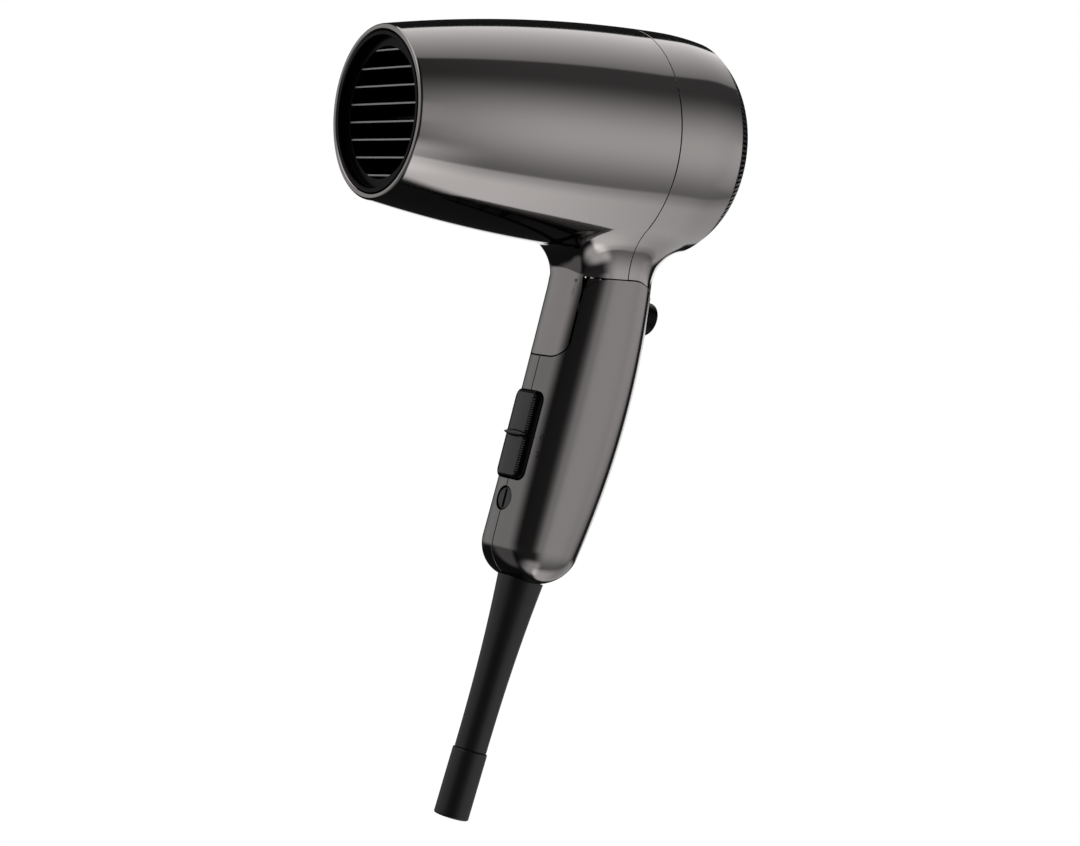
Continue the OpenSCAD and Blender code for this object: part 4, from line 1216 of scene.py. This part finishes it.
class DRYER_OT_handle(bpy.types.Operator):
    """Model the two handle halves with their slot, holes and rounded top"""
    bl_idname = "dryer.handle"
    bl_label = "Handle halves"
    bl_options = {"REGISTER", "UNDO"}

    def half(self, lines, name, side):
        obj = handle_half(lines, name, side)
        past_sides = 40
        top = joint_outline(lines, lines.joint_gap)
        carve(obj, side_cutter("top", top, past_sides), "INTERSECT")
        room = handle_half(lines, "room", side, lines.grip_wall, lines.handle_len - lines.end_wall,
                           flat=-1.0, steps=32)
        roof = joint_outline(lines, lines.joint_gap + lines.grip_wall)
        carve(room, side_cutter("roof", roof, past_sides), "INTERSECT")
        carve(obj, room)
        carve(obj, tongue_slot(lines))
        carve(obj, tongue_swing(lines))
        origin, into, _, _ = lines.front_frame(lines.dial_s)
        carve(obj, rod("dial_hole", origin, into, lines.dial_r + lines.seat, -2, 6))
        back = lines.place(lines.back_u(lines.button_s), 0, lines.button_s)
        out = (lines.place(1, 0, 0) - lines.place(0, 0, 0)).normalized()
        carve(obj, rod("button_hole", back, out, lines.button_r + lines.seat, -8, 6))
        top, down = lines.boot_frame()
        carve(obj, rod("boot_hole", top, down, BOOT_HOLE_R, -6, 2))
        # The way for the leads, up through the handle's top
        front, rear, low = lines.tail_corner_x - 7, lines.tail_corner_x + 3, lines.hinge_z - 2
        carve(obj, side_cutter("leads", [(front, low), (rear, low), (rear, 0), (front, 0)], 6))
        if side > 0:
            for s, u in screw_places(lines):
                carve(obj, rod("screw_hole", lines.place(u, 0, s), Vector((0, 1, 0)), SCREW_HOLE_R,
                               SCREW_HOLE_START, 30))
        # Small holes that the cuts leave are closed
        edit_all(obj, bpy.ops.mesh.fill_holes, sides=8)
        return joined(follow_lines(obj, lines), self.cheek(lines, side))

    def cheek(self, lines, side):
        """Round cheek beside the tongue, seen between it and the handle's front corner."""
        hinge = Vector((lines.hinge_x, 0, lines.hinge_z))
        low = lines.tongue_half_w + lines.slide_gap
        piece = rod("cheek", hinge, Vector((0, side, 0)), lines.knuckle_r - lines.joint_gap,
                    low, low + CHEEK_PLATE_T, 96)
        limit = handle_half(lines, "cheek_limit", side, CHEEK_INSET, steps=40)
        return carve(piece, limit, "INTERSECT")

    def execute(self, context):
        lines = Lines()
        for name, side in (("handle_left", -1), ("handle_right", 1)):
            piece = self.half(lines, "grip_" + name[7:], side)
            finish(piece, "handle", [name], "shell", grip_paint())
        return {"FINISHED"}


# Controls

def plate_outline(length_, width, corner, steps=8):
    """Rounded rectangle, as (across, up) points."""
    points = []
    for cx, cz, start in ((1, 1, 0), (-1, 1, 1), (-1, -1, 2), (1, -1, 3)):
        for k in range(steps + 1):
            t = math.pi / 2 * (start + k / steps)
            points.append((cx * (width / 2 - corner) + corner * math.cos(t),
                           cz * (length_ / 2 - corner) + corner * math.sin(t)))
    return points


class DRYER_OT_slide_switch(bpy.types.Operator):
    """Model the slide switch: a round-edged plate with a thumb ridge and fine ribs"""
    bl_idname = "dryer.slide_switch"
    bl_label = "Slide switch"
    bl_options = {"REGISTER", "UNDO"}

    def execute(self, context):
        lines = Lines()
        origin, into, across, up = lines.front_frame(lines.slider_s)
        front, back, half = lines.section(lines.slider_s)

        power = lines.squareness

        def drop(y):
            """How far the handle's front falls away beside its middle."""
            return (back - front) / 2 * (1 - (1 - abs(y / half) ** power) ** (1 / power))

        def put(x, y, z):
            return origin + into * x + across * y + up * z

        edge, top = 1.3, -lines.slider_proud
        rings = []
        base = plate_outline(lines.slider_len, lines.slider_w, lines.slider_corner)
        rings.append([put(drop(y) - lines.slide_gap, y, z) for y, z in base])
        quarter = steps_between(0, math.pi / 2, 6)
        insets = [(edge * (1 - math.cos(t)), edge * (1 - math.sin(t))) for t in quarter]
        flat_insets = (1.5, 2.4, 3.4, 4.4, 5.4, 6.1, 6.6)
        for inset, sink in insets + [(inset, 0.0) for inset in flat_insets]:
            ring = plate_outline(lines.slider_len - 2 * inset, lines.slider_w - 2 * inset,
                                 max(0.08, lines.slider_corner - inset))
            rings.append([put(top + sink + drop(y), y, z) for y, z in ring])
        plate = smooth(loft("switch_plate", rings, caps=True), 40)
        # Lens-shaped ridge across the middle
        half_w, facets = lines.slider_w / 2 - 0.1, 20
        turns = [2 * math.pi * i / facets for i in range(facets)]
        ridge_rings = []
        for y in steps_between(-half_w, half_w, 28):
            thin = 1.1 * max(0.04, 1 - (y / half_w) ** 2) ** 0.8
            tall = 0.9 + 0.4 * thin
            ridge_rings.append([put(top + drop(y) - tall * math.sin(t), y, thin * math.cos(t))
                                for t in turns])
        ridge = smooth(loft("ridge", ridge_rings, caps=True), 60)
        # Fine ribs along the near edge
        ribs = []
        rib_count, rib_pitch, ridge_room = 32, 0.74, 1.7
        rib_inset, rib_proud = 1.5, 0.22
        rib_high, rib_wide, rib_thick = 0.8, 1.2, 0.36
        for i in range(rib_count):
            z = (i - (rib_count - 1) / 2) * rib_pitch
            if abs(z) < ridge_room:
                continue
            deselect()
            bpy.ops.mesh.primitive_cube_add(size=1.0)
            rib = bpy.context.object
            bpy.ops.object.mode_set(mode="EDIT")
            mesh = bmesh.from_edit_mesh(rib.data)
            for vert in mesh.verts:
                a, b, c = vert.co
                y = -lines.slider_w / 2 + rib_inset + rib_wide * b
                vert.co = put(top + drop(y) - rib_proud + rib_high * (0.5 + a), y, z + rib_thick * c)
            bpy.ops.mesh.normals_make_consistent(inside=False)
            bpy.ops.object.mode_set(mode="OBJECT")
            ribs.append(round_edges(rib, 0.1, 2))
        # Faces that turn straight out get the plate's grey. The rest keep deep black as painted shade: the
        # plate's rounded edges, a strip of its top along each side, the ridge's flanks and the ribs' sides.
        painted_shade_margin = 2.3

        def outside_painted_shade(centre, normal):
            y, z = (centre - origin).dot(across), (centre - origin).dot(up)
            return (normal.dot(into) < -0.9
                    and painted_shade_margin < y + lines.slider_w / 2 < lines.slider_w - painted_shade_margin
                    and abs(z) < lines.slider_len / 2 - edge)

        for part in (plate, ridge, *ribs):
            part.data.materials.append(deep_black())
            part.data.materials.append(plate_black())
        paint(plate, 1, outside_painted_shade)
        for part in (ridge, *ribs):
            paint(part, 1, lambda c, n: n.dot(into) < -0.75)
        piece = joined(plate, ridge, *ribs)
        finish(piece, "slider", ["switch_slider"], "black_trim")
        return {"FINISHED"}


class DRYER_OT_dial(bpy.types.Operator):
    """Model the selector dial: a recessed disc with a coin slot"""
    bl_idname = "dryer.dial"
    bl_label = "Selector dial"
    bl_options = {"REGISTER", "UNDO"}

    def execute(self, context):
        lines = Lines()
        origin, into, across, up = lines.front_frame(lines.dial_s)

        def put(a, b, c):
            return origin + into * a + across * b + up * c

        r, face, back = lines.dial_r, lines.dial_sink, 3.4
        outline = [(face, 0.0), (face, r - 0.5), (face + 0.35, r - 0.1), (face + 0.6, r), (back, r),
                   (back, 0.0)]
        disc = turned("selector_dial", outline, KNOB_FACETS, put, closed=False)
        slot_len, slot_w, slot_corner, slot_depth = 2 * r - 1.4, 1.2, 0.4, 1.0
        slot = plate_outline(slot_len, slot_w, slot_corner, 4)
        carve(disc, prism("slot", slot, lambda y, z, x: put(x, y, z), -1.0, face + slot_depth))
        finish(smooth(disc, 30), "selector", ["voltage_selector"], "black_trim", plate_black())
        return {"FINISHED"}


class DRYER_OT_button(bpy.types.Operator):
    """Model the rear push button with its crowned face"""
    bl_idname = "dryer.button"
    bl_label = "Push button"
    bl_options = {"REGISTER", "UNDO"}

    def execute(self, context):
        lines = Lines()
        origin = lines.place(lines.back_u(lines.button_s), 0, lines.button_s)
        out = (lines.place(1, 0, 0) - lines.place(0, 0, 0)).normalized()
        up = (lines.place(0, 0, -1) - lines.place(0, 0, 0)).normalized()
        across = Vector((0, 1, 0))

        def put(a, b, c):
            return origin + out * a + across * b + up * c

        crown_r, edge_r, root, steps = 16.0, 0.9, -6.0, 10
        r, proud = lines.button_r, lines.button_proud
        crown = [(proud - crown_r + math.sqrt(crown_r ** 2 - q * q), q) for q in steps_between(0, r, steps)]
        outline = soften(crown + [(root, r), (root, 0.0)], {steps: edge_r}, steps=6)
        piece = turned("push_button", outline, KNOB_FACETS, put, closed=False)
        finish(smooth(piece, 40), "button", ["cool_button"], "black_trim", deep_black())
        return {"FINISHED"}


class DRYER_OT_scale_marks(bpy.types.Operator):
    """Set the three position numerals beside the slide switch"""
    bl_idname = "dryer.scale_marks"
    bl_label = "Position numerals"
    bl_options = {"REGISTER", "UNDO"}

    def numeral(self, lines, text, s, turn):
        deselect()
        bpy.ops.object.text_add()
        obj = bpy.context.object
        obj.data.body = text
        obj.data.size = lines.numeral_size * TEXT_SIZE_FOR_HEIGHT
        obj.data.align_x, obj.data.align_y = "CENTER", "CENTER"
        obj.data.extrude = 0.05
        obj.data.resolution_u = 3
        bpy.ops.object.convert(target="MESH")
        front, back, half = lines.section(s)
        u, y = lines.oval(front, back, half, turn)
        out = lines.way_out(u, y, s)
        up = lines.front_frame(s)[3]
        right = up.cross(out).normalized()
        centre = lines.place(u, y, s)
        reach = 0.05
        for vert in obj.data.vertices:
            a, b, lift = vert.co
            point = centre + right * a + up * b
            # The point is brought down onto the handle's surface
            for _ in range(6):
                place = lines.in_handle(point)
                step = lines.level(*(lines.in_handle(point + out * reach))) - lines.level(*place)
                point -= out * (lines.level(*place) * reach / step)
            vert.co = point + lines.way_out(*lines.in_handle(point)) * lift
        pick(obj)
        bpy.ops.object.mode_set(mode="EDIT")
        return close_up(obj)

    def execute(self, context):
        lines = Lines()
        # Millimetres down the handle, and degrees round it from its front
        places = ((40.6, -36.0), (46.3, -33.5), (51.8, -33.5))
        marks = [self.numeral(lines, text, s, math.radians(turn))
                 for text, (s, turn) in zip("102", places)]
        piece = joined(*marks)
        piece.name = piece.data.name = "position_numerals"
        finish(piece, "handle", [], "black_trim", mark_ink())
        return {"FINISHED"}


class DRYER_OT_boot(bpy.types.Operator):
    """Model the tapered cord boot and its end sleeve"""
    bl_idname = "dryer.boot"
    bl_label = "Cord boot"
    bl_options = {"REGISTER", "UNDO"}

    def execute(self, context):
        lines = Lines()
        top, down = lines.boot_frame()
        across = Vector((0, 1, 0))
        side = across.cross(down)

        def put(a, b, c):
            return top + down * a + across * b + side * c

        # A flange inside the handle, a neck in its end, the hollow taper, and a plug for the sleeve
        start, tip, hollow = -0.5, lines.seat + lines.boot_len, 2.2
        flange_in, flange_out, flange_r, neck_r = -5.7, -3.2, 7.2, 5.2
        head = [(flange_in, lines.cord_r), (flange_in, flange_r), (flange_out, flange_r),
                (flange_out, neck_r), (start, neck_r)]
        spread = lines.boot_r - lines.boot_tip_r
        cone = [(start + (tip - start) * q, lines.boot_tip_r + spread * (1 - q) ** hollow)
                for q in steps_between(0.0, 1.0, 20)]
        plug_end = tip + BOOT_PLUG_LEN
        plug = [(tip, BOOT_PLUG_R), (plug_end, BOOT_PLUG_R), (plug_end, lines.cord_r)]
        corners = {len(head): 0.2, len(head + cone) - 1: 0.3}
        boot = turned("cord_boot", soften(head + cone + plug, corners), BOOT_FACETS, put)
        finish(smooth(boot, 35), "handle", ["strain_relief"], "boot_rubber", boot_rubber())
        top_of_sleeve, socket_r = tip + lines.seat / 2, 4.5
        end = top_of_sleeve + lines.sleeve_len
        socket = top_of_sleeve + BOOT_PLUG_LEN + lines.seat
        outline = [(top_of_sleeve, socket_r), (top_of_sleeve, lines.sleeve_r), (end, lines.sleeve_r),
                   (end, lines.cord_r), (socket, lines.cord_r), (socket, socket_r)]
        sleeve = turned("end_sleeve", soften(outline, {1: 0.35, 2: 0.6}), BOOT_FACETS, put)
        finish(smooth(sleeve, 35), "handle", ["boot_sleeve"], "boot_rubber", boot_rubber())
        return {"FINISHED"}


class DRYER_OT_inner_parts(bpy.types.Operator):
    """Dress the inner pieces of the frame: heater, motor, fan, switches and fasteners"""
    bl_idname = "dryer.inner_parts"
    bl_label = "Inner parts"
    bl_options = {"REGISTER", "UNDO"}

    def execute(self, context):
        dress = {
            heater_wire: ("heater_coil",),
            bare_steel: ("thermostat", "motor", "motor_shaft", "hinge_pin", "cool_spring",
                         "clamp_screws", "handle_screws"),
            black_trim: ("motor_mount", "fan", "switch_body", "selector_body", "cool_switch", "cord_clamp"),
            mica_sheet: ("heat_shield", "heater_frame"),
            fuse_brass: ("thermal_fuse",),
            board_green: ("rectifier_board",),
        }
        for finish_of, nodes in dress.items():
            for node in nodes:
                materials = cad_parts[node].data.materials
                materials.clear()
                materials.append(finish_of())
        return {"FINISHED"}


# Studio

IMAGE_SIZE = (1080, 846)


class StudioSettings(bpy.types.PropertyGroup):
    camera_turn: angle("Turn", "Camera's angle round the object", -34.661)
    camera_rise: angle("Rise", "Camera's angle above the level", 4.28)
    camera_roll: angle("Roll", "Camera's roll", 4.42)
    camera_distance: length("Distance", "From the camera to its target", 0.6647)
    target_x: number("Target X", "Camera's target along the barrel, in metres", 0.06781)
    target_z: number("Target Z", "Camera's target above the barrel axis, in metres", -0.09127)
    focal_pixels: number("Focal length", "Focal length in pixels of the image", 2091.9)


def add_camera(studio):
    turn, rise, roll = studio.camera_turn, studio.camera_rise, studio.camera_roll
    back = Vector((math.sin(turn) * math.cos(rise), -math.cos(turn) * math.cos(rise), math.sin(rise)))
    right = Vector((math.cos(turn), math.sin(turn), 0))
    up = back.cross(right)
    right, up = (right * math.cos(roll) + up * math.sin(roll), up * math.cos(roll) - right * math.sin(roll))
    data = bpy.data.cameras.new("studio_camera")
    data.sensor_fit = "HORIZONTAL"
    data.sensor_width = 36.0
    data.lens = studio.focal_pixels / IMAGE_SIZE[0] * data.sensor_width
    data.clip_start = 0.01
    camera = bpy.data.objects.new("studio_camera", data)
    target = Vector((studio.target_x, 0, studio.target_z))
    place = Matrix((right, up, back)).transposed().to_4x4()
    place.translation = target + back * studio.camera_distance
    camera.matrix_world = place
    bpy.context.scene.collection.objects.link(camera)
    bpy.context.scene.camera = camera


def soft_panel():
    """Node group: 1 between two angles with soft edges, and 0 outside them."""
    group, inputs, outputs = new_group("Soft panel", [
        ("Angle", "NodeSocketFloat", 0.0), ("From", "NodeSocketFloat", 0.0),
        ("To", "NodeSocketFloat", 1.0), ("Edge", "NodeSocketFloat", 0.05),
    ], [("Mask", "NodeSocketFloat")])

    def step(at):
        node = group.nodes.new("ShaderNodeMapRange")
        node.interpolation_type = "SMOOTHSTEP"
        group.links.new(inputs.outputs["Angle"], node.inputs["Value"])
        group.links.new(math_node(group, "SUBTRACT", at, inputs.outputs["Edge"]), node.inputs["From Min"])
        group.links.new(math_node(group, "ADD", at, inputs.outputs["Edge"]), node.inputs["From Max"])
        return node.outputs["Result"]

    rise, fall = step(inputs.outputs["From"]), step(inputs.outputs["To"])
    group.links.new(math_node(group, "SUBTRACT", rise, fall), outputs.inputs["Mask"])
    return group


def light_world(studio):
    """White to the camera; to the object, soft panels round it and the white backdrop behind it."""
    world = bpy.data.worlds.new("studio")
    bpy.context.scene.world = world
    world.use_nodes = True
    tree = world.node_tree
    tree.nodes.clear()
    panel_group = soft_panel()
    turn, rise = studio.camera_turn, studio.camera_rise
    way = tree.nodes.new("ShaderNodeSeparateXYZ")
    tree.links.new(tree.nodes.new("ShaderNodeTexCoord").outputs["Generated"], way.inputs[0])
    x, y, z = (way.outputs[i] for i in range(3))
    # Angle over the barrel: 0 towards -Y, a quarter turn up, half a turn at the back
    over = math_node(tree, "ARCTAN2", z, math_node(tree, "MULTIPLY", y, -1.0))
    # The panels fan out towards the rear
    fan_start, fan_rate = 0.57, 0.8
    fan = math_node(tree, "MAXIMUM", math_node(tree, "SUBTRACT", x, fan_start), 0.0)
    over = math_node(tree, "DIVIDE", over, math_node(tree, "MULTIPLY_ADD", fan, fan_rate, 1.0))
    # Angle round the handle: 0 at the back, a quarter turn towards the mouth
    beside = math_node(tree, "ARCTAN2", math_node(tree, "MULTIPLY", x, -1.0), y)

    def panel(value, low, high, edge):
        node = tree.nodes.new("ShaderNodeGroup")
        node.node_tree = panel_group
        tree.links.new(value, node.inputs["Angle"])
        for label, degrees in (("From", low), ("To", high), ("Edge", edge)):
            node.inputs[label].default_value = math.radians(degrees)
        return node.outputs["Mask"]

    def ramp(value, low, high, first, second, eased=True):
        node = tree.nodes.new("ShaderNodeMapRange")
        node.interpolation_type = "SMOOTHSTEP" if eased else "LINEAR"
        tree.links.new(value, node.inputs["Value"])
        for label, number_ in (("From Min", low), ("From Max", high), ("To Min", first), ("To Max", second)):
            node.inputs[label].default_value = number_
        return node.outputs["Result"]

    def times(a, b):
        return math_node(tree, "MULTIPLY", a, b)

    rad = math.radians
    # Panels over, beside and under the barrel
    top = times(panel(over, 71, 129.5, 1.2), ramp(over, rad(71), rad(129), 0.4, 1.55, False))
    top = times(top, ramp(z, 0.36, 0.44, 0.0, 1.0))
    fades = times(ramp(over, rad(54), rad(-2), 0.08, 1.0), ramp(over, rad(-54), rad(-6), 0.3, 1.0))
    middle = times(panel(over, -52, 71, 1.2), fades)
    middle = times(middle, times(ramp(x, -0.15, 0.42, 0.03, 0.98), ramp(x, 0.6, 0.9, 1.0, 0.85)))
    # The low panel reaches further under towards the rear
    reach_start, reach_rate = 0.34, 1.43
    reach = math_node(tree, "MULTIPLY_ADD", x, reach_rate, -reach_start * reach_rate)
    under = math_node(tree, "ADD", over, reach)
    low = times(panel(over, -150, -52, 1.5), panel(under, -94.5, 90, 4.5))
    low = times(low, times(ramp(over, rad(-52), rad(-68), 0.62, 1.0), ramp(x, 0.3, 0.75, 1.35, 0.72)))
    low = times(low, times(ramp(x, -0.12, 0.08, 0.0, 1.0), ramp(z, -0.3, -0.42, 0.0, 1.0)))
    # Panels round the handle, level with it
    corner = times(ramp(x, -0.35, 0.08, 0.0, 0.3), ramp(x, 0.22, 0.06, 0.0, 1.0))
    corner = times(corner, panel(z, -8, 14, 4))
    left = times(times(panel(beside, 8, 170, 14), ramp(beside, rad(74), rad(118), 1.0, 0.0)),
                 times(panel(z, -9, 40, 3), ramp(beside, rad(40), rad(85), 0.6, 0.62)))
    rim = times(times(panel(beside, -72, -50, 3), panel(z, -14.3, -2.5, 1.5)), 1.7)
    flank = times(times(panel(beside, -124, -92, 6), panel(z, -26, 6, 3)), 0.15)
    # Light from below for the handle's round end, and a faint fill for the far side
    end = times(times(ramp(z, -0.42, -0.66, 0.0, 1.0), ramp(y, -0.1, -0.4, 0.0, 1.0)),
                times(ramp(x, -0.8, -0.2, 0.0, 0.9), ramp(x, 0.3, 0.1, 0.0, 1.0)))
    far = times(ramp(x, -0.45, -0.65, 0.0, 0.2), ramp(z, -0.1, -0.25, 0.0, 1.0))
    far = times(far, ramp(y, -0.2, 0.1, 0.0, 1.0))
    total = top
    for part in (middle, corner, low, left, rim, flank, end, far):
        total = math_node(tree, "ADD", total, part)
    dark_between = 0.015
    total = math_node(tree, "ADD", total, dark_between)
    # What the dryer shows of itself stays dark
    path = tree.nodes.new("ShaderNodeLightPath")
    total = times(total, ramp(path.outputs["Ray Depth"], 2.4, 2.6, 1.0, 0.2))
    lights = tree.nodes.new("ShaderNodeBackground")
    tree.links.new(total, lights.inputs["Strength"])
    white = tree.nodes.new("ShaderNodeBackground")
    white.inputs["Color"].default_value = (1, 1, 1, 1)
    # Gloss and glass show the white backdrop that lies behind the object
    facing = times(x, -math.sin(turn) * math.cos(rise))
    for axis, share in ((y, math.cos(turn) * math.cos(rise)), (z, -math.sin(rise))):
        facing = math_node(tree, "ADD", facing, times(axis, share))
    backdrop = times(path.outputs["Is Glossy Ray"], ramp(facing, 0.97, 0.99, 0.0, 1.0))
    shown = math_node(tree, "MAXIMUM", path.outputs["Is Camera Ray"], path.outputs["Is Transmission Ray"])
    mix = tree.nodes.new("ShaderNodeMixShader")
    tree.links.new(math_node(tree, "MAXIMUM", shown, backdrop), mix.inputs["Fac"])
    tree.links.new(lights.outputs[0], mix.inputs[1])
    tree.links.new(white.outputs[0], mix.inputs[2])
    tree.links.new(mix.outputs[0], tree.nodes.new("ShaderNodeOutputWorld").inputs["Surface"])


def floor_white():
    """Pale floor: white to the camera with a faint shadow, and clear to every other ray."""
    material = bpy.data.materials.new("studio_floor")
    material.use_nodes = True
    tree = material.node_tree
    tree.nodes.clear()
    pale = tree.nodes.new("ShaderNodeBsdfDiffuse")
    rgb = bpy.context.scene.dryer_colours.floor
    place = tree.nodes.new("ShaderNodeTexCoord").outputs["Object"]
    tone = mix_colour(tree, noise(tree, place, 3.0), [c * 0.99 for c in rgb], rgb)
    tree.links.new(tone, pale.inputs["Color"])
    glow = tree.nodes.new("ShaderNodeEmission")
    glow.inputs["Strength"].default_value = 1.06
    lit = tree.nodes.new("ShaderNodeMixShader")
    lit.inputs["Fac"].default_value = 0.94
    tree.links.new(pale.outputs[0], lit.inputs[1])
    tree.links.new(glow.outputs[0], lit.inputs[2])
    clear = tree.nodes.new("ShaderNodeBsdfTransparent")
    mix = tree.nodes.new("ShaderNodeMixShader")
    tree.links.new(tree.nodes.new("ShaderNodeLightPath").outputs["Is Camera Ray"], mix.inputs["Fac"])
    tree.links.new(clear.outputs[0], mix.inputs[1])
    tree.links.new(lit.outputs[0], mix.inputs[2])
    tree.links.new(mix.outputs[0], tree.nodes.new("ShaderNodeOutputMaterial").inputs["Surface"])
    return material


class DRYER_OT_studio(bpy.types.Operator):
    """Set up the floor, the soft light and the camera"""
    bl_idname = "dryer.studio"
    bl_label = "Studio"
    bl_options = {"REGISTER", "UNDO"}

    def execute(self, context):
        context.scene.view_settings.view_transform = "Standard"
        deselect()
        bpy.ops.mesh.primitive_plane_add(size=8.0)
        floor = context.object
        floor.name = "floor"
        floor.location.z = CAD_BOX[0][2] - 0.0005
        bpy.ops.object.transform_apply(location=True, rotation=True, scale=True)
        floor.data.materials.append(floor_white())
        light_world(context.scene.dryer_studio)
        add_camera(context.scene.dryer_studio)
        return {"FINISHED"}


# Panel and registration

PIECES = (DRYER_OT_front_housing, DRYER_OT_rear_housing, DRYER_OT_outlet, DRYER_OT_intake, DRYER_OT_handle,
          DRYER_OT_slide_switch, DRYER_OT_scale_marks, DRYER_OT_dial, DRYER_OT_button, DRYER_OT_boot,
          DRYER_OT_inner_parts, DRYER_OT_studio)
GROUPS = {"dryer_barrel": BarrelSizes, "dryer_handle": HandleSizes, "dryer_controls": ControlSizes,
          "dryer_colours": DryerColours, "dryer_studio": StudioSettings}


class DRYER_PT_panel(bpy.types.Panel):
    """Sizes, colours and modelling steps of the dryer"""
    bl_idname = "DRYER_PT_panel"
    bl_label = "Dryer"
    bl_space_type = "VIEW_3D"
    bl_region_type = "UI"
    bl_category = "Dryer"

    def draw(self, context):
        for piece in PIECES:
            self.layout.operator(piece.bl_idname)
        for group in GROUPS:
            box = self.layout.box()
            for name in GROUPS[group].__annotations__:
                box.prop(getattr(context.scene, group), name)


def register():
    for cls in (*GROUPS.values(), *PIECES, DRYER_PT_panel):
        bpy.utils.register_class(cls)
    for name, group in GROUPS.items():
        setattr(bpy.types.Scene, name, bpy.props.PointerProperty(type=group))


def unregister():
    for name in GROUPS:
        delattr(bpy.types.Scene, name)
    for cls in reversed((*GROUPS.values(), *PIECES, DRYER_PT_panel)):
        bpy.utils.unregister_class(cls)


def main():
    register()
    for piece in PIECES:
        group, name = piece.bl_idname.split(".")
        getattr(getattr(bpy.ops, group), name)()
    deselect()


if __name__ == "__main__":
    main()
